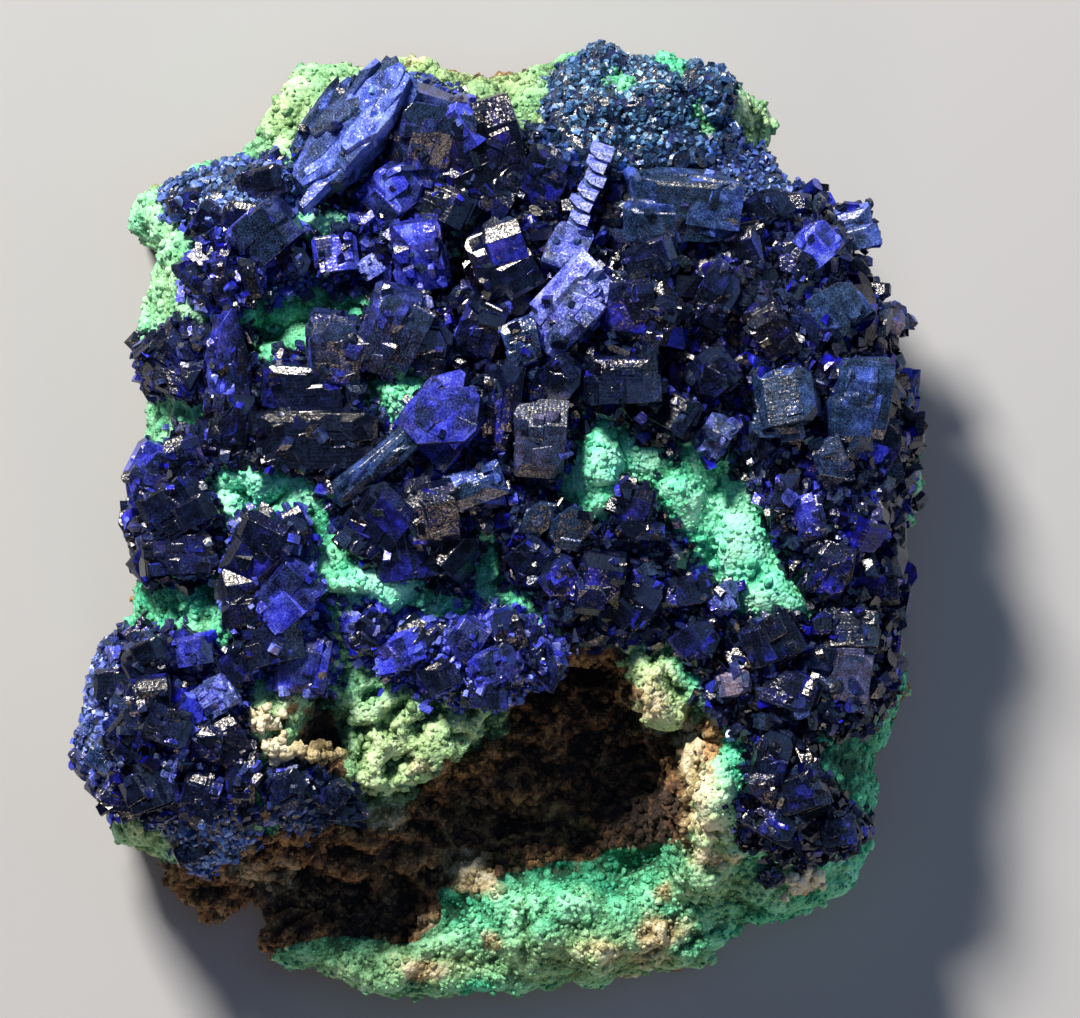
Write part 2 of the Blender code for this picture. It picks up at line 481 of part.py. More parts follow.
def swollen(obj, name, distance, size=None):
    """A copy of obj grown outward by a distance in millimetres, and given one new skin if size is set."""
    copy = linked(obj.data.copy(), name)
    grow = copy.modifiers.new("grow", "DISPLACE")
    grow.strength = distance * MM
    grow.mid_level = 0.0
    if size:
        add_voxels(copy, size)
    copy.data = baked(copy)
    copy.modifiers.clear()
    return copy


def trim_back(obj):
    """Cuts obj flat at height 0, which is the sawn back it lies on."""
    work = bmesh.new()
    work.from_mesh(obj.data)
    everything = work.verts[:] + work.edges[:] + work.faces[:]
    cut = bmesh.ops.bisect_plane(work, geom=everything, plane_co=(0, 0, 0), plane_no=(0, 0, -1), clear_outer=True)
    rim = [item for item in cut["geom_cut"] if isinstance(item, bmesh.types.BMEdge)]
    bmesh.ops.holes_fill(work, edges=rim)
    bmesh.ops.triangulate(work, faces=work.faces)
    work.to_mesh(obj.data)
    work.free()


def crystal(length, width, thickness, habit, spread, place):
    """One flat-faced crystal: a cube cut by its habit's planes, sheared, sized and put in its place."""
    work = bmesh.new()
    bmesh.ops.create_cube(work, size=2)
    for normal, distance in HABITS[habit]:
        normal = Vector(normal)
        point = normal * (distance * spread() / normal.length_squared)
        everything = work.verts[:] + work.edges[:] + work.faces[:]
        cut = bmesh.ops.bisect_plane(work, geom=everything, plane_co=point, plane_no=normal, clear_outer=True)
        rim = [item for item in cut["geom_cut"] if isinstance(item, bmesh.types.BMEdge)]
        if rim:
            bmesh.ops.holes_fill(work, edges=rim)
    shear = Matrix.Identity(4)
    shear[0][2] = CRYSTAL_SHEAR
    size = Matrix.Diagonal((length / 2 * MM, width / 2 * MM, thickness / 2 * MM, 1))
    bmesh.ops.transform(work, matrix=place @ size @ shear, verts=work.verts)
    bmesh.ops.recalc_face_normals(work, faces=work.faces)
    mesh_data = bpy.data.meshes.new("crystal")
    work.to_mesh(mesh_data)
    work.free()
    return mesh_data


def surface(rock_tree, x, y):
    """The rock's surface under (x, y), given in millimetres: its height in millimetres and its normal."""
    point, normal, _, _ = rock_tree.ray_cast(Vector((x * MM, y * MM, 0.08)), Vector((0, 0, -1)))
    if point is None:
        point, normal, _, _ = rock_tree.find_nearest(Vector((x * MM, y * MM, 14 * MM)))
    return point.z / MM, normal


def turned(azimuth, tilt, roll):
    """The rotation of a crystal whose long axis points to azimuth, raised by tilt, and turned on itself by roll."""
    around = Matrix.Rotation(math.radians(azimuth), 4, "Z")
    raised = Matrix.Rotation(math.radians(-tilt), 4, "Y")
    return around @ raised @ Matrix.Rotation(math.radians(roll), 4, "X")


def inside(outline, x, y):
    """Whether (x, y) lies inside an outline."""
    found = False
    for (ax, ay), (bx, by) in zip(outline, outline[1:] + outline[:1]):
        if (ay > y) != (by > y) and x < (bx - ax) * (y - ay) / (by - ay) + ax:
            found = not found
    return found


def fillers(outline, taken, rng):
    """Places for the smaller crystals between the named ones, on a jittered grid."""
    xs = [x for x, _ in outline]
    ys = [y for _, y in outline]
    rows = int((max(ys) - min(ys)) / FILLER_SPACING) + 1
    columns = int((max(xs) - min(xs)) / FILLER_SPACING) + 1
    for row in range(rows):
        for column in range(columns):
            x = min(xs) + (column + rng.uniform(0.2, 0.8)) * FILLER_SPACING
            y = min(ys) + (row + rng.uniform(0.2, 0.8)) * FILLER_SPACING
            if not inside(outline, x, y) or any(inside(window, x, y) for window in WINDOWS):
                continue
            if all(math.hypot(x - a, y - b) > reach for a, b, reach in taken):
                yield x, y


def build_group(name, rock, rock_tree, crust, seat, windows):
    """One group of azurite crystals on its piece of crust, with its underside following the rock."""
    floor, outline = BEDS[name]
    rng = random.Random(name)

    def spread():
        return rng.uniform(0.94, 1.05)

    meshes = []
    taken = []
    for x, y, length, width, thickness, azimuth, tilt, roll, habit, lift in CRYSTALS[name]:
        height, _ = surface(rock_tree, x, y)
        place = Matrix.Translation(Vector((x, y, height + lift + RAISE)) * MM) @ turned(azimuth, tilt, roll)
        meshes.append(crystal(length, width, thickness, habit, spread, place))
        taken.append((x, y, 0.34 * (length + width)))
    for x, y in fillers(outline, taken, rng):
        height, normal = surface(rock_tree, x, y)
        length = rng.uniform(*FILLER_LENGTH)
        lean = normal.to_track_quat("Z", "Y").to_matrix().to_4x4()
        place = Matrix.Translation(Vector((x, y, height + FILLER_LIFT)) * MM)
        place = place @ lean @ turned(rng.uniform(0, 360), rng.uniform(10, 60), rng.uniform(-20, 20))
        habit = rng.choice(("block", "block", "wedge", "prism"))
        meshes.append(crystal(length, length * 0.75, length * 0.65, habit, spread, place))
    prism = merged("reach", [layer(outline, 1.0, floor, 60.0)])
    group = linked(crust.data.copy(), name)
    combine(group, "INTERSECT", prism)
    for window in windows:
        combine(group, "DIFFERENCE", window)
    for mesh_data in meshes:
        one = linked(mesh_data, "crystal")
        combine(group, "UNION", one)
        bpy.data.objects.remove(one)
    combine(group, "INTERSECT", prism)
    group.data.calc_loop_triangles()
    cut_down(group, GROUP_SHARE * len(group.data.loop_triangles))
    combine(group, "DIFFERENCE", seat)
    combine(group, "DIFFERENCE", rock)
    keep_largest(group)
    bpy.data.objects.remove(prism)
    return group


def keep_largest(obj):
    """Leaves only the largest connected body of obj, cleaned and cut into triangles."""
    work = bmesh.new()
    work.from_mesh(obj.data)
    bmesh.ops.triangulate(work, faces=work.faces)
    left = set(work.faces)
    bodies = []
    while left:
        body = set()
        queue = [left.pop()]
        while queue:
            face = queue.pop()
            body.add(face)
            for edge in face.edges:
                for other in edge.link_faces:
                    if other in left:
                        left.remove(other)
                        queue.append(other)
        bodies.append(body)
    bodies.sort(key=lambda body: sum(face.calc_area() for face in body))
    small = [face for body in bodies[:-1] for face in body]
    bmesh.ops.delete(work, geom=small, context="FACES")
    work.to_mesh(obj.data)
    work.free()


def material(name, colour, roughness, metallic=0.0):
    """A plain Principled material; colour is linear."""
    made = bpy.data.materials.new(name)
    made.use_nodes = True
    shader = made.node_tree.nodes["Principled BSDF"]
    shader.inputs["Base Color"].default_value = (*colour, 1)
    shader.inputs["Roughness"].default_value = roughness
    shader.inputs["Metallic"].default_value = metallic
    return made


def main():
    for obj in list(bpy.data.objects):
        bpy.data.objects.remove(obj, do_unlink=True)
    dense = build_rock()
    rock = faceted(dense, "matrix", FINE_TRIANGLES)
    cut_down_under_beds(rock, ROCK_TRIANGLES)
    grown = swollen(dense, "grown", CRUST_THICKNESS, ROCK_VOXEL)
    crust = faceted(grown, "crust", CRUST_TRIANGLES)
    seat = swollen(rock, "seat", SEAT_GAP)
    trim_back(rock)
    windows = [merged("window", [layer(outline, 1.0, 0.0, 60.0)]) for outline in WINDOWS]
    work = bmesh.new()
    work.from_mesh(dense.data)
    rock_tree = BVHTree.FromBMesh(work)
    work.free()
    nodes = [rock]
    for name in BEDS:
        nodes.append(build_group(name, rock, rock_tree, crust, seat, windows))
    for helper in (dense, grown, crust, seat, *windows):
        bpy.data.objects.remove(helper)
    stone = material("malachite_coated_gossan", (0.09, 0.30, 0.19), 0.85)
    azurite = material("azurite", (0.012, 0.018, 0.28), 0.22)
    collection = bpy.data.collections.new("azurite_specimen")
    bpy.context.scene.collection.children.link(collection)
    for node in nodes:
        node.data.materials.clear()
        node.data.materials.append(stone if node is rock else azurite)
        bpy.context.scene.collection.objects.unlink(node)
        collection.objects.link(node)
    corners = [node.matrix_world @ vertex.co for node in nodes for vertex in node.data.vertices]
    middle = Vector((
        (min(p.x for p in corners) + max(p.x for p in corners)) / 2,
        (min(p.y for p in corners) + max(p.y for p in corners)) / 2,
        min(p.z for p in corners),
    ))
    for node in nodes:
        node.data.transform(Matrix.Translation(-middle))
    print("shift_mm", [round(value / MM, 3) for value in middle], "triangles", sum(len(n.data.polygons) for n in nodes))


main()
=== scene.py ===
# %% [markdown]
# # Azurite on a malachite-coated rock
# A palm-sized hand specimen. Brown limonite rock, the gossan, carries a skin of granular green malachite,
# and over most of that skin grow deep blue azurite crystals, from blades over a centimetre long down to
# sugar-fine druse. It lies on its sawn back with the crystals up, so the camera looks straight down on it.
#
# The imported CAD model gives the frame: one rock and nine crystal groups. Everything here is built on them.
# Places are read off the specimen's own plan, in millimetres, and are turned into metres only when a mesh
# is made.

# %% Load the frame
import math
import random

import bmesh
import bpy
import numpy as np
from mathutils import Euler, Matrix, Vector, noise
from mathutils.bvhtree import BVHTree


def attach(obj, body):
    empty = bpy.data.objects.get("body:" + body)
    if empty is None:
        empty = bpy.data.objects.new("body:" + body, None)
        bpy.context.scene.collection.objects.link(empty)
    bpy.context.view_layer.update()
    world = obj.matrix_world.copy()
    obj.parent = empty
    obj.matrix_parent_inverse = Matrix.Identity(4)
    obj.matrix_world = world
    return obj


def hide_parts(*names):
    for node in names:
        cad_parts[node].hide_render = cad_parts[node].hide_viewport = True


MM = 0.001
PLAN_SHIFT = np.array((0.671, -0.550, 0.0))  # from the plan's origin to the frame's, in millimetres
NOISE_SEED = 11

noise.seed_set(NOISE_SEED)  # without a seed, vector noise would give another rock at every run

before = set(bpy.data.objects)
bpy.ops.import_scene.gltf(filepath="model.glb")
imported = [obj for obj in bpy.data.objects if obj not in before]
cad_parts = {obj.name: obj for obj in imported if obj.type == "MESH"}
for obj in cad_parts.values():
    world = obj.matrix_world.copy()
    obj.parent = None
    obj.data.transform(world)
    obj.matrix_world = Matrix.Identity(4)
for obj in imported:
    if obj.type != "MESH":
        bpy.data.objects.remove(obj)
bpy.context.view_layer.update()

# %% [markdown]
# ## Colours and nodes
# A colour chosen by eye is an sRGB value, while a shader works in linear light, so one function turns hex
# into linear numbers. A second one adds a shader node with its settings and its links, which keeps each
# material below down to a short list of steps.


# %% Two helpers for every material
def linear(hex_colour):
    """An sRGB colour such as #1f18a8 as linear red, green, blue and alpha."""
    parts = [int(hex_colour[i : i + 2], 16) / 255 for i in (1, 3, 5)]
    return (*(c / 12.92 if c <= 0.04045 else ((c + 0.055) / 1.055) ** 2.4 for c in parts), 1.0)


def add(tree, kind, settings, links):
    """A new node. Settings go by property or socket name, links from a socket to another node's output."""
    made = tree.nodes.new("ShaderNode" + kind)
    for name, value in settings.items():
        if isinstance(name, str) and hasattr(made, name):
            setattr(made, name, value)
        else:
            made.inputs[name].default_value = value
    for name, output in links.items():
        tree.links.new(output, made.inputs[name])
    return made


def ramp(tree, factor, *stops):
    """A colour ramp through (position, hex colour) stops."""
    made = add(tree, "ValToRGB", {}, {"Fac": factor})
    band = made.color_ramp
    while len(band.elements) < len(stops):
        band.elements.new(0.5)
    for element, (position, colour) in zip(band.elements, stops):
        element.position = position
        element.color = linear(colour)
    return made.outputs["Color"]


def blank(name):
    """A new material, its node tree and its Principled shader."""
    made = bpy.data.materials.new(name)
    made.use_nodes = True
    return made, made.node_tree, made.node_tree.nodes["Principled BSDF"]


# %% [markdown]
# ## Camera
# A long lens far above keeps the specimen free of perspective, as a collector would shoot it. The frame's
# width is given at the height of the crystal plateau, and the focal length follows from it.

# %% Place the camera
PLATEAU = 22.0
FRAME_WIDTH = 94.5
CAMERA_HEIGHT = 1000.0
FRAME_MIDDLE = (3.3, 1.1)

lens = bpy.data.cameras.new("camera")
lens.sensor_fit = "HORIZONTAL"
lens.sensor_width = 36.0
lens.lens = lens.sensor_width * CAMERA_HEIGHT / FRAME_WIDTH
lens.clip_start = 0.05
lens.clip_end = 20.0
camera = bpy.data.objects.new("camera", lens)
camera.location = Vector((*FRAME_MIDDLE, PLATEAU + CAMERA_HEIGHT)) * MM
bpy.context.scene.collection.objects.link(camera)
bpy.context.scene.camera = camera
print(f"lens {lens.lens:.0f} mm for a frame {FRAME_WIDTH} mm wide")

# %% [markdown]
# ## Light and floor
# Crystals need two kinds of light. A key light behind on the left rakes over the rock and makes the edges,
# the glints and the deep shadow in the hollow. Large, weak panels are there to be mirrored: a flat crystal
# face shows a panel as a slate-blue sheen. The floor is plain pale card.

# %% Place the lights and the floor
AIM = (0, 0, 0.015)  # metres, the middle of the specimen
FLOOR_HALF = 3.0  # metres
FLOOR_DROP = 0.2 * MM


def panel(name, place, size, watts, colour):
    """A square area light that faces the specimen, with its place and size in metres."""
    data = bpy.data.lights.new(name, "AREA")
    data.size = size
    data.energy = watts
    data.color = linear(colour)[:3]
    obj = bpy.data.objects.new(name, data)
    obj.location = place
    obj.rotation_euler = (Vector(AIM) - Vector(place)).to_track_quat("-Z", "Y").to_euler()
    bpy.context.scene.collection.objects.link(obj)


panel("key", (-0.34, 0.66, 0.66), 0.18, 22.0, "#fff6e8")
panel("overhead", (0.1, 0.1, 1.5), 1.1, 3.1, "#84acf0")
panel("right_panel", (1.0, 0.15, 0.45), 0.7, 2.5, "#a9cdf0")
panel("front_panel", (0.15, -1.1, 0.40), 0.30, 3.2, "#f6dcc0")

world = bpy.data.worlds.new("studio")
bpy.context.scene.world = world
world.use_nodes = True
world.node_tree.nodes["Background"].inputs["Color"].default_value = linear("#c3cad6")
world.node_tree.nodes["Background"].inputs["Strength"].default_value = 0.03
bpy.context.scene.view_settings.view_transform = "Standard"

card = bpy.data.meshes.new("floor")
card_edit = bmesh.new()
bmesh.ops.create_grid(card_edit, x_segments=1, y_segments=1, size=FLOOR_HALF)
card_edit.to_mesh(card)
card_edit.free()
floor = bpy.data.objects.new("floor", card)
floor.location.z = -FLOOR_DROP
bpy.context.scene.collection.objects.link(floor)

card_stock, tree, shader = blank("matt_card")
shader.inputs["Base Color"].default_value = linear("#a7a9ae")
shader.inputs["Roughness"].default_value = 0.9
card.materials.append(card_stock)

# %% [markdown]
# ## The plan
# Each crystal bed is an outline seen from above and the lowest height its crystals reach. The same outlines
# decide where the rock swells into a crust, where crystals stand and where malachite stays bare. Windows
# are gaps in a bed. Nature draws no straight edges, so every test first wanders a little off the line.

# %% Beds and windows
BEDS = {
    "azurite_blades": (13.0, [
        (-18.5, 29), (-18, 33), (-15.5, 38), (-12, 40), (-7.5, 39.5), (-3.5, 37.5), (0, 36), (1, 33),
        (0.5, 29), (-2, 27.5), (-5, 27), (-5, 23.5), (-6, 20.5), (-11, 20.7), (-16.4, 21), (-16.5, 25),
        (-14, 26.5), (-14.5, 27.5), (-17.5, 28),
    ]),
    "azurite_crust": (12.5, [
        (-16, 19), (-14, 18), (-10, 19.4), (-6.8, 19.4), (-5.4, 21), (-4.3, 23), (-4, 26), (-1.5, 26.9),
        (1.2, 28.5), (2, 33), (1, 35.5), (3, 35.5), (3, 39), (5, 41.5), (8, 43.2), (12, 43), (13.2, 40.2),
        (15.2, 39.6), (16, 41.2), (19, 40.6), (20, 37.6), (19.6, 35.6), (21, 33.6), (23.4, 33), (26, 30),
        (32.2, 28), (32.2, 24.5), (33, 21), (35.5, 18), (37.5, 12.5), (36.6, 8.5), (36, 5), (35, 0),
        (35.5, -6.5), (36, -11.5), (33.5, -15), (31.5, -17.5), (27, -18.4), (26.5, -20.5), (29.5, -24),
        (32.5, -26.5), (29.5, -29), (25.5, -29.5), (20.5, -28), (19.5, -24), (21, -23), (20.3, -18),
        (18, -16), (16.5, -14), (15.5, -11.5), (13.5, -10), (9, -10), (5.5, -10.5), (4.5, -8), (2, -6.4),
        (-0.5, -5), (-0.3, -1.5), (-1.2, 0.6), (-2.6, 0.2), (-3, -3), (-3.5, -6), (-7, -5), (-11, -4),
        (-14.5, -1.5), (-16, 0), (-15.5, 2), (-17.5, 4), (-21.5, 6), (-26.5, 5.5), (-26.5, 10.4),
        (-22.5, 10.9), (-21.5, 15), (-17, 15.5),
    ]),
    "azurite_shoulder": (13.0, [
        (-31.5, 30.5), (-27, 32), (-23, 32.5), (-19.5, 33), (-19, 29), (-18.5, 25.5), (-17.5, 23.5),
        (-17, 21), (-21.5, 20), (-24, 19.2), (-28, 20), (-29.5, 22.5), (-30.5, 26),
    ]),
    "azurite_knot": (12.5, [
        (-34, 17), (-30.5, 18.5), (-26, 18.5), (-22.5, 17.5), (-22.5, 15.5), (-23.5, 11.5), (-26.5, 11),
        (-30, 10.8), (-33.5, 12.5),
    ]),
    "azurite_rosette": (10.5, [
        (-31.5, 7.5), (-29.5, 9), (-27, 8.5), (-26.5, 4.5), (-26, 2.5), (-25.6, 0), (-25.6, -4),
        (-28.5, -5), (-31.5, -5), (-34.5, -3.5), (-35.5, 0), (-34.5, 4),
    ]),
    "azurite_column": (12.0, [
        (-24.5, 0.5), (-21.5, 0.8), (-18.5, 1.5), (-17, -1), (-17, -4.5), (-16.5, -7), (-15.5, -10.5),
        (-15, -14), (-18.5, -14.5), (-21.5, -13.5), (-23.3, -10.5), (-25, -6.5), (-25, -3),
    ]),
    "azurite_brow": (13.5, [
        (-15, -6), (-11, -7), (-7, -8), (-4, -7.5), (-1, -6.2), (1.2, -7.2), (4, -9), (5, -11), (4.5, -14),
        (1.5, -16), (-6, -15.5), (-10, -14), (-14, -11.5),
    ]),
    "azurite_lobe": (9.0, [
        (-37.5, -10.5), (-33, -8.5), (-28, -9), (-24.2, -11), (-22.6, -14), (-22.1, -18.5), (-23, -23),
        (-22.1, -25.5), (-23, -28), (-27, -30.8), (-30.5, -30), (-35, -28.5), (-38, -25), (-39, -18.5),
        (-39, -14),
    ]),
    "azurite_shelf": (11.0, [
        (-21.5, -20.3), (-16.5, -21), (-13, -24), (-13, -26), (-18.5, -27), (-21.5, -26),
    ]),
}
WINDOWS = [
    [(7.2, 9.0), (13.0, 6.0), (12.8, 4.2), (9.8, 1.8), (7, 1.0), (5.2, 3.3), (6, 6)],
    [
        (16, 8.2), (18.2, 7.4), (20.2, 3.5), (22, -1), (24.3, -4.5), (26, -7), (24.2, -8), (21, -6.8),
        (18.4, -3.4), (15.8, -0.4), (14, 2.0), (13.2, 4.2), (15.2, 5.2),
    ],
    [(-12, 13.4), (-7.5, 14), (-5.6, 12), (-7.2, 9.8), (-10, 9.4)],
]
# Rims where the malachite stays bare although a bed reaches over them.
BARE_RIMS = [
    [
        (-36, 31), (-31, 30.6), (-30.4, 27.4), (-27.8, 27), (-27.2, 24.5), (-28.2, 22.6), (-28.4, 17.8),
        (-30, 16.6), (-36, 16.6),
    ],
    [(-36, 12.4), (-31.5, 11.8), (-25.8, 11.4), (-26, 8.2), (-28.8, 9.4), (-30, 8), (-30.2, 5.4), (-36, 5)],
    [(8.6, 39.0), (9.2, 40.2), (10.8, 39.9), (11.2, 38.8), (10.0, 38.0)],
    [(15.9, 37.0), (16.6, 37.2), (17.8, 35.4), (17.6, 34.2), (16.6, 34.6)],
    [
        (-41, -22), (-37, -22), (-35.3, -24.6), (-32.5, -25.4), (-30.2, -27), (-29, -29), (-30, -33),
        (-41, -33),
    ],
]


# %% Measure how deep a place lies in an outline
WINDOW_RIM = 0.95  # mm of bare malachite that shows beyond a window


def depth_in(outline, places):
    """How far each place (x, y) lies inside an outline, in mm, and less than zero outside."""
    corners = np.array(outline, float)
    nearest = np.full(len(places), 1e9)
    within = np.zeros(len(places), bool)
    for start, end in zip(corners, np.roll(corners, -1, axis=0)):
        along = end - start
        share = np.clip((places - start) @ along / (along @ along), 0, 1)
        nearest = np.minimum(nearest, np.linalg.norm(places - start - share[:, None] * along, axis=1))
        if start[1] != end[1]:
            crosses = (start[1] > places[:, 1]) != (end[1] > places[:, 1])
            left_of = places[:, 0] < along[0] * (places[:, 1] - start[1]) / along[1] + start[0]
            within ^= crosses & left_of
    return np.where(within, nearest, -nearest)


def wander(points):
    """The x and y of points, moved up to about half a millimetre so that borders come out ragged."""
    x, y, z = points.T
    shift_x = 0.30 * np.sin(2.1 * y + 0.7 * z) + 0.22 * np.sin(4.9 * y - 1.3 * x + 2.0)
    shift_y = 0.30 * np.sin(1.9 * x - 0.8 * z + 1.0) + 0.22 * np.sin(5.3 * x + 1.7 * y)
    return np.stack((x + shift_x, y + shift_y), axis=1)


def bed_depth(name, points):
    """How deep each point lies in a bed, counting its windows and its lowest height."""
    lowest, outline = BEDS[name]
    places = wander(points)
    depth = depth_in(outline, places)
    for window in WINDOWS:
        depth = np.minimum(depth, -depth_in(window, places) - WINDOW_RIM)
    for rim in BARE_RIMS:
        depth = np.minimum(depth, -depth_in(rim, places))
    return np.minimum(depth, points[:, 2] - lowest)


# %% [markdown]
# ## The rock
# Gossan is iron-rich rock that weathered until it crumbled: rough, pitted and brown. The CAD solid has its
# form in some thousands of flat facets. A sculptor could brush the rest in, but a rule can be rerun: remesh
# the solid into half-millimetre cells, smooth the facets away, then push every vertex along its normal by
# layered noise. Lumps of several millimetres come first, then botryoidal beads where malachite coats it,
# then crumbs where it is bare. The push fades to nothing at the sawn back, which stays flat.

# %% Turn the CAD rock into half-millimetre cells
ROCK_CELL = 0.52


def link(data, name):
    """A new object in the scene that holds a mesh."""
    obj = bpy.data.objects.new(name, data)
    bpy.context.scene.collection.objects.link(obj)
    return obj


def to_plan(mesh):
    """A mesh's vertices in plan millimetres."""
    flat = np.empty(len(mesh.vertices) * 3, np.float32)
    mesh.vertices.foreach_get("co", flat)
    return flat.reshape(-1, 3).astype(float) / MM - PLAN_SHIFT


def tree_of(mesh):
    """A search tree over a mesh, for rays and nearest points, in plan millimetres."""
    mesh.calc_loop_triangles()
    corners = [tuple(point) for point in to_plan(mesh)]
    return BVHTree.FromPolygons(corners, [tuple(face.vertices) for face in mesh.loop_triangles])


cad_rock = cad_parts["matrix"]
cad_rock_tree = tree_of(cad_rock.data)
draft = link(cad_rock.data.copy(), "draft")
cells = draft.modifiers.new("cells", "REMESH")
cells.mode = "VOXEL"
cells.voxel_size = ROCK_CELL * MM
soften = draft.modifiers.new("soften", "SMOOTH")
soften.iterations = 5
bpy.context.view_layer.update()
rock_mesh = bpy.data.meshes.new_from_object(draft.evaluated_get(bpy.context.evaluated_depsgraph_get()))
bpy.data.objects.remove(draft)
rock_mesh.name = "gossan"
rock_mesh.materials.clear()
print("rock cells:", len(rock_mesh.polygons))

# %% [markdown]
# ## What covers the rock
# Four fields say what the surface is at any point: how bare the brown rock is, how lime the malachite is
# instead of turquoise, how much ochre dust lies on it, and how dark azurite stains it. Each is a sum of
# soft patches listed one by one, and fine noise in the shader breaks their borders later.

# %% Patches of bare rock, lime malachite and ochre
# Each row: x, y, reach along x, reach along y, strength.
BARE = [
    (4, -21, 12, 8.5, 2.2), (-5, -27, 10, 4.5, 2.2), (-17, -32, 13, 5, 1.8), (-26, -34, 8, 4, 1.6),
    (8, -14.5, 4, 4, 1.6), (13.4, -22, 2.6, 5, 0.9), (16.8, -24.5, 1.8, 5, 0.1), (17.5, -18.7, 2, 2, 1.6),
    (4.5, -35, 17, 4.6, -3.0), (24, -32, 9, 3.4, -3.0), (-9, -39.3, 9, 2.4, -2.6), (-33, -28, 5, 3, -1.4),
    (12.6, -15.2, 4.0, 5.2, -2.0), (-5, -17.5, 9, 3.4, -1.5), (-11.5, -19.5, 4.5, 4.5, -2.2),
    (14.2, -37.2, 2.4, 1.3, 1.5), (16.5, -40, 4, 1.2, 1.4), (-10.5, -34.6, 5.5, 2.0, 3.0),
    (-20.0, -18.0, 3, 3, 0.5), (-6.5, 23, 3.5, 2.0, 0.9), (-11.0, -24.2, 3.8, 2.4, -1.7),
    # The row at (-15.9, -20.0) paints the deep gap there as dark earth, partly as painted shade.
    (-15.9, -20.0, 2.0, 4.0, 2.6), (19.6, -20.5, 1.0, 3.4, -1.6), (18.2, -24.5, 1.8, 4.5, -1.6),
    (-8.5, -36.9, 3, 0.8, 1.5),
]
LIME = [
    (-9.6, 41, 12, 4.5, 0.65), (-20, 35.5, 6, 4, 0.7), (-1, 39.5, 7, 3, 0.5), (3.5, 34.5, 3, 2.5, 0.9),
    (-31.5, 28, 3, 5, 0.35), (-30, 20, 4, 5, 0.45), (-32, 8, 3, 5, 0.3), (-31.5, -25.5, 5, 5, 0.8),
    (-20.5, -17, 3.5, 3, 0.75), (-7, -18.0, 9, 6, 0.9), (-11.5, -22.5, 4, 4, 0.5),
    (12.4, -15.2, 3.8, 5, 1.4), (17.5, -25.5, 2.5, 6, 0.9), (-8, -39, 9, 2.6, 0.75),
    (9, -38.5, 8, 2.2, 0.7), (20, -31.5, 6, 2, 0.4), (-13.8, -8.8, 1.5, 1.5, 0.9), (21, 35.8, 3, 3, 1.0),
    (-12.7, -11.0, 2.0, 3.0, 0.15), (16.3, -12.0, 1.8, 2.6, -0.8), (20.3, -20.5, 1.3, 4, -0.7),
    (8, -36, 8, 2.6, 0.35), (-3, -41, 1.2, 1.2, -0.8),
]
OCHRE = [
    (16.8, -24.5, 1.8, 6.0, 0.7), (-12.0, -25.8, 3.6, 1.2, 0.9), (-7.0, -21.0, 3.5, 1.5, 0.5),
    (-3.2, -31.3, 2.1, 1.7, 1.0), (15.8, -18.7, 1.2, 3.5, 0.7), (19, -29.4, 3.6, 1.0, 0.7),
    (13.8, -35.8, 2.4, 1.8, 1.0), (4.7, -30.4, 2.6, 1.0, 0.65), (13.6, -32.3, 1.3, 1.3, 0.6),
    (-1.8, -36.5, 1.2, 1.3, 0.9), (-7.8, -39.3, 1.9, 1.2, 0.8), (9.5, -36.8, 3.6, 1.4, 0.45),
    (12.2, -14.5, 1.8, 3.6, 0.5), (-22, -31, 5, 4, 0.5), (-8, -33, 5, 3, 0.35), (-0.2, -28.2, 6, 1.5, 0.3),
    (-20, -19.7, 2, 1.3, 0.9), (17.5, -2.0, 2.0, 4.0, 0.25), (-9, 42, 3, 2, 0.3),
    (-11, -38.5, 6, 2.4, 0.32), (10, -38.8, 7, 2.2, 0.30), (12.6, -16.5, 2.4, 3.0, 0.25),
]


# Swells and holes: x, y, reach along x, reach along y, millimetres outward.
RELIEF = [
    (-11.5, -4.4, 5.5, 1.5, 3.4), (-6.8, -6.3, 2.6, 1.3, 3.0), (-22, 4.3, 3.6, 2.1, 3.2),
    (-21, 18.2, 3.5, 2, 0.7), (-12.3, 20.2, 1.8, 1.2, 2.4), (-15.6, 26.8, 2.4, 1.2, 2.2),
    (-2, -3.5, 1.1, 3, 2.0), (13, -14.4, 2.8, 4.2, 2.4), (18, -24, 1.8, 4.8, 2.6),
    (20.5, -0.5, 2.4, 4.5, 1.0), (-15.8, -20.0, 1.8, 3.8, -5.0), (-3.2, -31.3, 2.1, 1.7, 2.0),
    (-9.5, 11.8, 2.4, 1.8, 1.4), (8.4, 4.6, 2.6, 3.0, 2.0), (-9.8, -34.6, 4.2, 1.7, -2.4),
    (1.2, -34.5, 0.6, 3.4, -1.3), (-33, -6.6, 2, 1.2, 0.8), (-32.3, 28.0, 2.6, 2.6, 1.8),
    (-18.4, 39.4, 3.0, 2.4, 1.6), (7.0, 41.6, 3.2, 1.8, 0.9),
]
# Where beads swell more than elsewhere, and show even through the druse on them.
KNOBBY = [
    (11.5, 37.5, 10, 5.5, 2.4), (-12.5, 39, 6, 2.4, 1.2), (-28, -28, 6, 3, 1.2), (-3, 40.5, 8, 2.8, 1.8),
    (-19.5, 36, 4.5, 4, 1.8), (-32, 27, 2.5, 5, 1.6), (-31.5, 18, 2, 4, 1.5),
]
# Where the malachite is crumbly and pitted.
CRUMBLY = [
    (-9.5, -17.5, 6.5, 4.5, 1.6), (-11.5, -23, 3.5, 3.5, 1.6), (-20.5, -15.5, 3.5, 3.5, 1.3),
    (13, -15.5, 3, 5, 1.4), (17.5, -24, 3, 6, 1.0), (-31, -28.5, 4, 3, 1.0), (-12, 41.5, 12, 2.5, 0.5),
    (15, -37.5, 8, 2.5, 0.6), (-28.5, -7.5, 3, 3, 0.6),
]
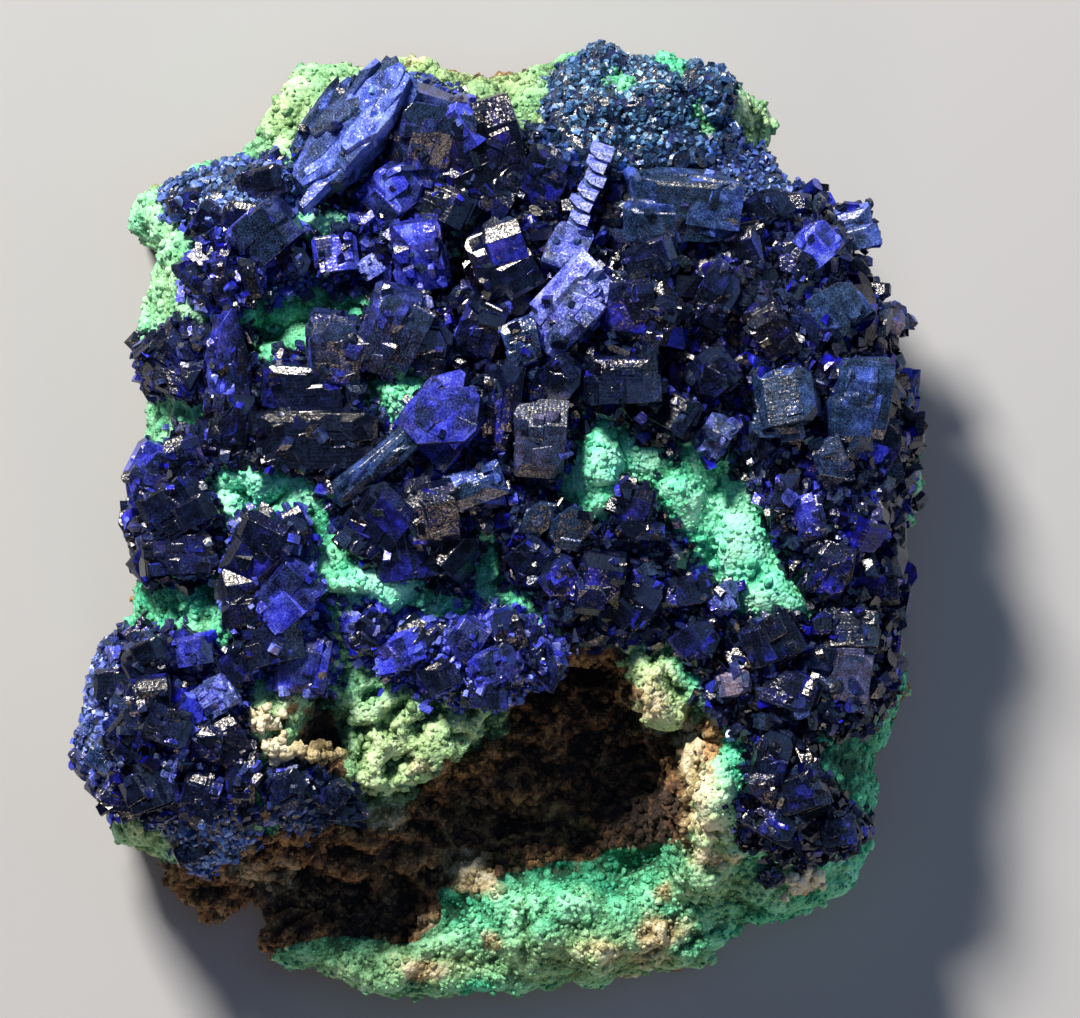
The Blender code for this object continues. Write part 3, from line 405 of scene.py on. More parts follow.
# Patches of painted light and shade: a positive strength paints the coat paler, as if lit, and a negative one
# paints it darker, as shade.
PAINTED_LIGHT_AND_SHADE = [
    (9.3, 5.0, 4.5, 3.8, 0.42), (20.0, -0.5, 4.2, 7.0, 0.60), (-21.9, 3.8, 4.0, 2.5, 0.60),
    (-31, 26, 2.5, 6, 0.12), (-31, 18, 2.5, 10, 0.20), (18.2, -24.7, 2.0, 5.5, 0.65),
    (-17.5, 37.5, 5, 4, 0.10), (26.5, -29.6, 4.5, 1.6, 0.7), (11.5, -25.5, 4.2, 3.6, -0.85),
    (6, -15, 5, 3, -0.4), (29.3, -20.6, 2.4, 3.0, -0.65), (-16.2, -18.6, 1.8, 3.2, -0.9),
    (-14.5, -35.5, 5, 2.5, -0.4), (-10.7, -4.8, 4.5, 2.2, 0.75), (-4.5, 41, 9, 3, -0.30),
]


def spread_from(points, x, y, reach_x, reach_y):
    """How far points lie from the middle of a patch, squared: 1 at its reach."""
    return ((points[:, 0] - x) / reach_x) ** 2 + ((points[:, 1] - y) / reach_y) ** 2


def patches(rows, points):
    """The sum of soft elliptical patches at each point."""
    total = np.zeros(len(points))
    for x, y, reach_x, reach_y, strength in rows:
        total += strength * np.exp(-spread_from(points, x, y, reach_x, reach_y))
    return total


def pits(points):
    """How far into a pit of the crumbly malachite each point lies, from 0 to 1."""
    soft = np.clip(patches(CRUMBLY, points), 0, 1.2)
    hollow = [noise.noise(Vector(point) / 1.7) if near > 0.1 else 0 for point, near in zip(points, soft)]
    return np.clip((np.array(hollow) - 0.10) * 4.0, 0, 1) * soft


def cover(points, normals):
    """The fields bare, lime, ochre and blue at each point, from 0 to 1."""
    height = points[:, 2]
    steep = 1 - np.clip(normals[:, 2] * 1.6, 0, 1)
    low = np.clip((9.0 - height) / 7.0, 0, 1)
    underside = (normals[:, 2] < -0.3) & (height < 8)
    bare = patches(BARE, points) + 0.75 * low * steep + np.where(underside, 0.8, 0.0)
    bare += 0.9 * pits(points)
    lime = 0.12 + patches(LIME, points) + 0.25 * low
    ochre = patches(OCHRE, points)
    blue = np.max([bed_depth(name, points) for name in BEDS], axis=0)
    return np.clip(np.stack((bare, lime, ochre, blue / 0.8 + 0.3), axis=1), 0, 1)


# %% Weather the rock
LUMP = 5.0  # mm across the broadest lumps, and the next sizes down to a bead
HUMP = 2.2
KNOB = 2.7
BEAD = 1.1
FOLD = (4.4, 2.8, 1.7)  # mm across the bare rock's folds, along x, y and z
WINDOW_RISE = 1.1  # mm the malachite swells in a window
FLAT_BACK = 2.5  # mm over the back within which the push fades


def normals_of(mesh):
    """A mesh's vertex normals as an array."""
    flat = np.empty(len(mesh.vertices) * 3, np.float32)
    mesh.vertex_normals.foreach_get("vector", flat)
    return flat.reshape(-1, 3).astype(float)


def weathering(point, bare, blue, pit, knobby):
    """How far the surface is pushed out at a point, in millimetres."""
    bent = point + noise.noise_vector(point / 2.6) * 0.9
    broad = noise.noise(point / LUMP) * 0.55 + noise.noise(point / HUMP) * 0.34
    knob = noise.voronoi(bent / KNOB)[0][0]
    beads = 0.34 - 1.15 * knob * knob + 0.34 * (0.45 - noise.voronoi(bent / BEAD)[0][0])
    folds = 0.75 - 3.4 * abs(noise.noise(Vector([side / size for side, size in zip(bent, FOLD)])))
    crumbs = folds + 0.40 - 1.3 * abs(noise.noise(bent / BEAD))
    return broad + (1 - bare) * max(1 - blue, knobby) * beads + bare * crumbs - 1.9 * pit


rock_points = to_plan(rock_mesh)
rock_normals = normals_of(rock_mesh)
fields = cover(rock_points, rock_normals)
push = np.array([
    weathering(Vector(point), bare, blue, pit, knobby)
    for point, (bare, _, _, blue), pit, knobby in zip(
        rock_points, fields, pits(rock_points), patches(KNOBBY, rock_points)
    )
])
within = np.max([depth_in(window, rock_points[:, :2]) for window in WINDOWS], axis=0)
push += WINDOW_RISE * np.clip(within / 1.2 + 0.4, 0, 1) + patches(RELIEF, rock_points)
push *= np.clip(rock_points[:, 2] / FLAT_BACK, 0, 1)
rock_points = rock_points + rock_normals * push[:, None]
rock_mesh.vertices.foreach_set("co", ((rock_points + PLAN_SHIFT) * MM).astype(np.float32).ravel())
rock_mesh.update()
rock_normals = normals_of(rock_mesh)
fields = cover(rock_points, rock_normals)
print(f"weathered by {push.min():.2f} to {push.max():.2f} mm")


# %% Store the fields on the rock
def store(mesh, name, values):
    """A float or vector attribute on a mesh's vertices."""
    values = np.asarray(values, np.float32)
    kind = "FLOAT" if values.ndim == 1 else "FLOAT_VECTOR"
    field = "value" if values.ndim == 1 else "vector"
    mesh.attributes.new(name, kind, "POINT").data.foreach_set(field, values.ravel())


CREVICE_PASSES = 5  # rounds of averaging that give a vertex its surroundings
CREVICE_DEPTH = 0.5  # mm from crevice to crest


def painted_crevice_shade(mesh, points, normals):
    """How proud of its surroundings each vertex stands: 0 in a crevice, 1 on a crest. It paints shade into
    crevices and light onto crests.
    """
    pairs = np.empty(len(mesh.edges) * 2, np.int32)
    mesh.edges.foreach_get("vertices", pairs)
    pairs = pairs.reshape(-1, 2)
    count = np.bincount(pairs.ravel(), minlength=len(points))[:, None]
    smooth = points
    for _ in range(CREVICE_PASSES):
        total = np.zeros_like(points)
        np.add.at(total, pairs[:, 0], smooth[pairs[:, 1]])
        np.add.at(total, pairs[:, 1], smooth[pairs[:, 0]])
        smooth = total / count
    return np.clip(0.5 + ((points - smooth) * normals).sum(axis=1) / CREVICE_DEPTH, 0, 1)


rock_mesh.shade_smooth()
for column, name in enumerate(("bare", "lime", "ochre", "blue")):
    store(rock_mesh, name, fields[:, column])
# Painted shade in crevices and painted light on crests, plus the patches of painted light and shade.
rock_painted_shade = painted_crevice_shade(rock_mesh, rock_points, rock_normals) + patches(PAINTED_LIGHT_AND_SHADE, rock_points)
store(rock_mesh, "worn", rock_painted_shade)
print(f"wear: mean {rock_painted_shade.mean():.2f}, spread {rock_painted_shade.std():.2f}")
rock = link(rock_mesh, "gossan_rock")
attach(rock, "root")
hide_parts("matrix")

# %% [markdown]
# ## Malachite and limonite as one skin
# Malachite is copper carbonate. Grown as a felt of tiny needles it scatters light like sugar: matt, pale
# and blue-green where it is pure, lime where iron has got into it. Limonite is earthy iron oxide, as matt
# and as rough as dry soil. Both have an IOR near 1.8 and 2.0, but their grain is so fine that roughness
# decides what one sees. The same group of nodes serves the rock and the loose grains on it, so their
# colours always agree.

# %% Build the rock's material
PATCH = 3.5  # mm across a patch of paler or greener felt
GRAIN = 0.45  # mm between grains of the felt
NEEDLE = 0.16  # mm, finer than the eye can part, so drawn as speckle
PER_METRE = 1000.0


def field(tree, name):
    """The value of a stored field."""
    return add(tree, "Attribute", {"attribute_name": name}, {}).outputs["Fac"]


def maths(tree, operation, first, second, clamp=False):
    """One sum, where each side is a number or an output."""
    made = add(tree, "Math", {"operation": operation, "use_clamp": clamp}, {})
    for socket, value in zip(made.inputs, (first, second)):
        if isinstance(value, (int, float)):
            socket.default_value = value
        else:
            tree.links.new(value, socket)
    return made.outputs["Value"]


def blend(tree, factor, first, second):
    """A mix of two colour outputs."""
    made = add(tree, "Mix", {"data_type": "RGBA"}, {0: factor, 6: first, 7: second})
    return made.outputs[2]


def swing(tree, value, strength):
    """A noise output's swing about its middle, times a strength."""
    return maths(tree, "MULTIPLY", maths(tree, "SUBTRACT", value, 0.5), strength)


def noise_field(tree, place, scale, detail, **settings):
    """The value of a noise texture."""
    settings = {"Scale": scale, "Detail": detail, **settings}
    return add(tree, "TexNoise", settings, {"Vector": place}).outputs["Fac"]


rock_skin, tree, shader = blank("malachite_felt_on_limonite")
place = add(tree, "TexCoord", {}, {}).outputs["Object"]
patchy = noise_field(tree, place, PER_METRE / PATCH, 4.0)
grains = add(tree, "TexVoronoi", {"Scale": PER_METRE / GRAIN}, {"Vector": place}).outputs["Distance"]
needles = noise_field(tree, place, PER_METRE / NEEDLE, 3.0)
speckle_and_painted_shade = maths(tree, "ADD", maths(tree, "MULTIPLY", patchy, 0.40), maths(tree, "MULTIPLY", needles, 0.55))
speckle_and_painted_shade = maths(tree, "SUBTRACT", speckle_and_painted_shade, maths(tree, "MULTIPLY", grains, 0.18))
# Painted shade in crevices, painted light on crests and the patches of painted light and shade shift the coat
# here.
speckle_and_painted_shade = maths(tree, "ADD", speckle_and_painted_shade, swing(tree, field(tree, "worn"), 0.34))
turquoise = ramp(
    tree, speckle_and_painted_shade,
    (0.20, "#055038"), (0.32, "#138c66"), (0.42, "#36bc90"), (0.53, "#64d9ae"), (0.66, "#92f4d6"),
)
lime_green = ramp(
    tree, speckle_and_painted_shade,
    (0.20, "#3f5a34"), (0.32, "#73925c"), (0.42, "#9bbb83"), (0.53, "#aecb99"), (0.66, "#cae2b8"),
)
lime = maths(tree, "ADD", field(tree, "lime"), swing(tree, patchy, 0.9), clamp=True)
green = blend(tree, lime, turquoise, lime_green)
earth = ramp(
    tree, speckle_and_painted_shade,
    (0.24, "#21140a"), (0.36, "#4c321c"), (0.46, "#75532f"), (0.56, "#977449"), (0.68, "#c0a06c"),
)
dust = ramp(tree, speckle_and_painted_shade, (0.24, "#5f5334"), (0.36, "#978a60"), (0.48, "#c2b58c"), (0.62, "#e6dfc4"))
edge = swing(tree, patchy, 1.6)
bare = ramp(tree, maths(tree, "ADD", field(tree, "bare"), edge), (0.42, "#000000"), (0.58, "#ffffff"))
dusty = ramp(tree, maths(tree, "ADD", field(tree, "ochre"), edge), (0.35, "#000000"), (0.75, "#ffffff"))
stained = blend(tree, dusty, blend(tree, bare, green, earth), dust)
ink = ramp(tree, needles, (0.35, "#04040f"), (0.6, "#0c0c38"), (0.75, "#1b1a70"))
tree.links.new(blend(tree, field(tree, "blue"), stained, ink), shader.inputs["Base Color"])
shader.inputs["Roughness"].default_value = 0.82
shader.inputs["IOR"].default_value = 1.6
relief = maths(tree, "SUBTRACT", maths(tree, "MULTIPLY", needles, 0.5), grains)
bump = add(tree, "Bump", {"Strength": 0.9, "Distance": 0.22 * MM}, {"Height": relief})
tree.links.new(bump.outputs["Normal"], shader.inputs["Normal"])
rock_mesh.materials.append(rock_skin)

# %% [markdown]
# ## Planting small things
# Thousands of grains and crystals are needed. Particles or instances would do it with less memory, but they
# don't survive an export, so each kind is shaped once as a small template and its copies are written
# straight into one mesh with numpy: scale, turn and shift all corners at once, then hand the arrays to
# Blender.


# %% A heap of planted shapes
NEVER_ZERO = 1e-12


def starts_of(totals):
    """Where each face's corners begin in a row of loops, from the faces' lengths."""
    return np.concatenate(([0], np.cumsum(totals)[:-1]))


class Heap:
    """Collects copies of small shapes, in plan millimetres, and turns them into one mesh."""

    def __init__(self, *names):
        self.names = names
        self.points = []
        self.loops = []
        self.totals = []
        self.fields = {name: [] for name in names}
        self.count = 0

    def put(self, points, loops, totals, **fields):
        """Adds corners (n, 3), all faces' corner numbers in a row, each face's length, and the fields."""
        self.points.append(points)
        self.loops.append(loops + self.count)
        self.totals.append(totals)
        for name in self.names:
            value = np.asarray(fields[name], float)
            shape = (len(points), 3) if value.ndim == 2 else len(points)
            self.fields[name].append(np.broadcast_to(value, shape))
        self.count += len(points)

    def plant(self, template, places, turns, sizes, **fields):
        """Copies of a template at many places (n, 3), each turned (n, 3, 3) and sized (n, 3)."""
        corners, loops, totals = template
        local = corners[None] * sizes[:, None] / 2
        world = np.einsum("nij,nvj->nvi", turns, local) + places[:, None]
        steps = np.arange(len(places))[:, None] * len(corners)
        spread = {name: np.repeat(value, len(corners), axis=0) for name, value in fields.items()}
        if "own_place" in self.names:
            spread["own_place"] = (local + spread.pop("origin").reshape(len(places), -1, 3)).reshape(-1, 3)
        self.put(world.reshape(-1, 3), (loops[None] + steps).ravel(), np.tile(totals, len(places)), **spread)

    def mesh(self, name):
        """All of it as one mesh, in the frame's metres."""
        points = (np.concatenate(self.points) + PLAN_SHIFT) * MM
        loops = np.concatenate(self.loops).astype(np.int32)
        totals = np.concatenate(self.totals).astype(np.int32)
        made = bpy.data.meshes.new(name)
        made.vertices.add(len(points))
        made.vertices.foreach_set("co", points.astype(np.float32).ravel())
        made.loops.add(len(loops))
        made.loops.foreach_set("vertex_index", loops)
        made.polygons.add(len(totals))
        made.polygons.foreach_set("loop_start", starts_of(totals).astype(np.int32))
        made.update(calc_edges=True)
        made.shade_flat()
        for field_name in self.names:
            store(made, field_name, np.concatenate(self.fields[field_name]))
        print(f"{name}: {int((totals - 2).sum())} triangles")
        return made


def shape_of(work):
    """The corners, loops and face lengths of a bmesh."""
    work.verts.index_update()
    corners = np.array([tuple(vertex.co) for vertex in work.verts])
    loops = np.array([vertex.index for face in work.faces for vertex in face.verts])
    totals = np.array([len(face.verts) for face in work.faces])
    return corners, loops, totals


def facing_and_area(points, faces):
    """The normals of triangles, each twice its triangle's area long, and the areas."""
    corners = points[faces]
    facing = np.cross(corners[:, 1] - corners[:, 0], corners[:, 2] - corners[:, 0])
    return facing, np.linalg.norm(facing, axis=1) / 2


def seeds_on(points, faces, weights, count, rng):
    """Random points on a triangle mesh, more of them where weights are high, with their face's normal."""
    facing, area = facing_and_area(points, faces)
    share = area * weights
    chosen = rng.choice(len(faces), count, p=share / share.sum())
    a, b = rng.random((2, count, 1))
    flip = a + b > 1
    a, b = np.where(flip, 1 - a, a), np.where(flip, 1 - b, b)
    first, second, third = points[faces[chosen]].transpose(1, 0, 2)
    places = first + a * (second - first) + b * (third - first)
    return places, facing[chosen] / (2 * area[chosen, None] + NEVER_ZERO)


def thinned(points, gaps):
    """The numbers of points that keep their own gap from all those kept before them."""
    cell = gaps.max()
    grid = {}
    kept = []
    for number, (point, gap) in enumerate(zip(points, gaps)):
        key = tuple((point // cell).astype(int))
        close = (
            other
            for i in (-1, 0, 1) for j in (-1, 0, 1) for k in (-1, 0, 1)
            for other in grid.get((key[0] + i, key[1] + j, key[2] + k), ())
        )
        if all(((points[other] - point) ** 2).sum() > gap * gap for other in close):
            grid.setdefault(key, []).append(number)
            kept.append(number)
    return np.array(kept)


def turns_about(normals, lean, rng):
    """Rotations whose third axis is each normal, leaned by up to some degrees, at a random heading."""
    turns = np.empty((len(normals), 3, 3))
    for number, normal in enumerate(normals):
        base = Vector(normal).to_track_quat("Z", "Y").to_matrix()
        heading = Matrix.Rotation(rng.uniform(0, 2 * math.pi), 3, "Z")
        tip = Matrix.Rotation(math.radians(rng.uniform(-lean, lean)), 3, "Y")
        roll = Matrix.Rotation(math.radians(rng.uniform(-lean, lean) / 2), 3, "X")
        turns[number] = base @ heading @ tip @ roll
    return turns


def height_at(tree, x, y):
    """The height and normal of a surface under (x, y), in plan millimetres."""
    point, normal, _, _ = tree.ray_cast(Vector((x, y, 80)), Vector((0, 0, -1)))
    if point is None:
        point, normal, _, _ = tree.find_nearest(Vector((x, y, 14)))
    return point.z, normal


rock_mesh.calc_loop_triangles()
rock_faces = np.array([tuple(face.vertices) for face in rock_mesh.loop_triangles])
rock_tree = BVHTree.FromPolygons(rock_points.tolist(), rock_faces.tolist())

# %% [markdown]
# ## Malachite grains and limonite crumbs
# Up close the green is a crowd of beads about half a millimetre across, and the bare rock sheds angular
# crumbs. Displacement can't make them at this size without millions of faces. A twenty-faced ball with its
# corners pushed about is enough for either, because a grain is only a few pixels wide.

# %% Shape the grains
grain_rng = np.random.default_rng(11)
GRAIN_COUNT = 9000
CRUMB_COUNT = 2600
GAP = 0.66  # between two grains, against their width
OVER_BACK = 0.8  # mm over the back that stays free of grains
NEARLY_NONE = 1e-9  # keeps a sum of weights over zero


def lumps(count, rough, rng):
    """Templates of twenty-faced lumps of half-width 1."""
    made = []
    for _ in range(count):
        work = bmesh.new()
        bmesh.ops.create_icosphere(work, subdivisions=1, radius=1.0)
        for vertex in work.verts:
            vertex.co *= rng.uniform(1 - rough, 1 + rough)
        made.append(shape_of(work))
        work.free()
    return made


def scatter(name, count, weights, sizes, flat, rough, lift, rng):
    """Grains strewn over the rock as one piece that takes the rock's own colours.

    Sizes are the least and greatest width in mm. Against that width, flat is a grain's height and lift is
    how far it is raised off the rock. Rough is how far its corners are pushed about."""
    places, normals = seeds_on(rock_points, rock_faces, weights, count, rng)
    width = sizes[0] * (sizes[1] / sizes[0]) ** (rng.random(len(places)) ** 1.7)
    kept = thinned(places, width * GAP)
    places, normals, width = places[kept], normals[kept], width[kept]
    make_grains(name, places, normals, width, cover(places, normals), flat, rough, lift, rng)


def make_grains(name, places, normals, width, values, flat, rough, lift, rng, worn=(0.35, 0.9)):
    """One piece of grains at given places, with given widths and fields."""
    size = np.stack((width, width * rng.uniform(0.75, 1, len(width)), width * flat), axis=1)
    turns = turns_about(normals, 25, rng)
    places = places + normals * (width * lift)[:, None]
    heap = Heap("bare", "lime", "ochre", "blue", "worn")
    templates = lumps(6, rough, rng)
    choice = rng.integers(len(templates), size=len(places))
    for number, template in enumerate(templates):
        mine = choice == number
        bare, lime, ochre, _ = values[mine].T
        heap.plant(
            template, places[mine], turns[mine], size[mine], bare=bare, lime=lime, ochre=ochre, blue=0 * bare,
            # Each grain's own lightness, plus the patches of painted light and shade.
            worn=rng.uniform(*worn, mine.sum()) + patches(PAINTED_LIGHT_AND_SHADE, places[mine]),
        )
    mesh = heap.mesh(name)
    mesh.shade_smooth()
    mesh.materials.append(rock_skin)
    piece = link(mesh, name)
    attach(piece, "root")


centre = fields[rock_faces].mean(axis=1)
upward = np.clip(rock_normals[rock_faces][:, :, 2].mean(axis=1), 0, 1)
above_back = rock_points[rock_faces][:, :, 2].mean(axis=1) > OVER_BACK
seen = (0.22 + upward) * above_back
green_weights = seen * (1 - centre[:, 0]) * (1 - centre[:, 3]) + NEARLY_NONE
earthy = patches(BARE, rock_points)[rock_faces].mean(axis=1) > 0.25
crumb_weights = seen * earthy * centre[:, 0] * (1 - centre[:, 3]) + NEARLY_NONE
scatter(
    "malachite_grains", GRAIN_COUNT, green_weights,
    sizes=(0.36, 1.35), flat=0.75, rough=0.36, lift=0.06, rng=grain_rng,
)
scatter(
    "limonite_crumbs", CRUMB_COUNT, crumb_weights,
    sizes=(0.5, 1.8), flat=0.7, rough=0.40, lift=0.10, rng=grain_rng,
)

# Crumbs of pale clay: x, y, reach along x, reach along y, how many.
CLAY = [
    (-21.6, -16.9, 1.3, 0.8, 26), (-20.4, -19.2, 0.9, 0.8, 30), (-16.9, -19.6, 1.4, 0.7, 36),
    (25.8, -31.3, 1.9, 0.8, 36),
]
clay = np.array([
    (x + reach_x * dx, y + reach_y * dy, 0)
    for x, y, reach_x, reach_y, count in CLAY
    for dx, dy in grain_rng.normal(0, 0.6, (count, 2))
])
clay[:, 2] = [max(height_at(rock_tree, x, y)[0], height_at(cad_rock_tree, x, y)[0]) for x, y, _ in clay]
clay[:, 2] += grain_rng.uniform(0.2, 1.6, len(clay))
clay_fields = np.tile((1.0, 0.0, 1.0, 0.0), (len(clay), 1))
up = np.tile((0.0, 0.0, 1.0), (len(clay), 1))
clay_width = grain_rng.uniform(0.5, 1.5, len(clay))
make_grains(
    "clay_crumbs", clay, up, clay_width, clay_fields,
    flat=0.7, rough=0.55, lift=0, rng=grain_rng, worn=(0.95, 1.2),
)

# %% [markdown]
# ## Crystal shapes
# Azurite is monoclinic: its crystals are blocks, blades and wedges with slanted ends. Each habit here is a
# cube cut by a few planes and sheared by the mineral's lean, the way a model is whittled from a block, so
# every face comes out truly flat. The cutting distances vary a little from one crystal to the next.

# %% Whittle a crystal from a cube
HABITS = {
    "block": [
        ((1, 0, 1), 1.45), ((-1, 0, 1), 1.72), ((0, 1, 1), 1.75), ((1, 1, 0), 1.72), ((-1, 1, 0), 1.85),
    ],
    "blade": [
        ((1, 1, 0), 1.15), ((1, -1, 0), 1.3), ((-1, 1, 0), 1.35), ((-1, -1, 0), 1.2), ((0, 1, 1), 1.6),
        ((0, -1, 1), 1.65),
    ],
    "prism": [
        ((0, 1, 1), 1.25), ((0, -1, 1), 1.3), ((0, 1, -1), 1.3), ((0, -1, -1), 1.25), ((1, 0, 1), 1.4),
        ((-1, 0, 1), 1.7),
    ],
    "wedge": [((0.7, 0, 1), 1.05), ((1, 1, 0), 1.55), ((1, -1, 0), 1.6), ((-1, 0.4, 1), 1.7)],
    "rhomb": [((1, 1, 0), 1.05), ((-1, -1, 0), 1.1), ((1, -1, 0.3), 1.7), ((-1, 1, 0.3), 1.75)],
    "chip": [((1, 0.3, 1), 1.4), ((-1, 1, 0.4), 1.5)],
    "grit": [((1, 0.3, 1), 1.2)],
}
SHEAR = 0.14
TEMPLATES_EACH = 7


def whittled(habit, spread, rng, size=None, edge=0.0, nicks=0):
    """A crystal of a habit as corners, loops and totals, with some corners nicked off and its edges bevelled.
    """
    work = bmesh.new()
    bmesh.ops.create_cube(work, size=2)
    planes = list(HABITS[habit])
    for _ in range(nicks):
        corner = [rng.choice((-1, 1)) * rng.uniform(0.35, 1) for _ in range(3)]
        planes.append((corner, sum(map(abs, corner)) * rng.uniform(0.66, 0.88)))
    for normal, distance in planes:
        normal = Vector(normal)
        point = normal * (distance * rng.uniform(1 - spread, 1 + spread) / normal.length_squared)
        everything = work.verts[:] + work.edges[:] + work.faces[:]
        cut = bmesh.ops.bisect_plane(work, geom=everything, plane_co=point, plane_no=normal, clear_outer=True)
        rim = [item for item in cut["geom_cut"] if isinstance(item, bmesh.types.BMEdge)]
        if rim:
            bmesh.ops.holes_fill(work, edges=rim)
    shear = Matrix.Identity(4)
    shear[0][2] = SHEAR
    if size:
        shear = Matrix.Diagonal((*(side / 2 for side in size), 1)) @ shear
    bmesh.ops.transform(work, matrix=shear, verts=work.verts)
    if edge:
        bmesh.ops.bevel(work, geom=work.edges[:], offset=edge, segments=1, affect="EDGES", clamp_overlap=True)
    bmesh.ops.recalc_face_normals(work, faces=work.faces)
    made = shape_of(work)
    work.free()
    return made


shape_rng = random.Random(5)
TEMPLATES = {}
for habit in HABITS:
    most_nicks = 0 if habit == "grit" else 2
    nick_counts = [min(number % 3, most_nicks) for number in range(TEMPLATES_EACH)]
    TEMPLATES[habit] = [whittled(habit, 0.10, shape_rng, nicks=nicks) for nicks in nick_counts]
print("triangles in a block and a chip:", [int((TEMPLATES[h][0][2] - 2).sum()) for h in ("block", "chip")])
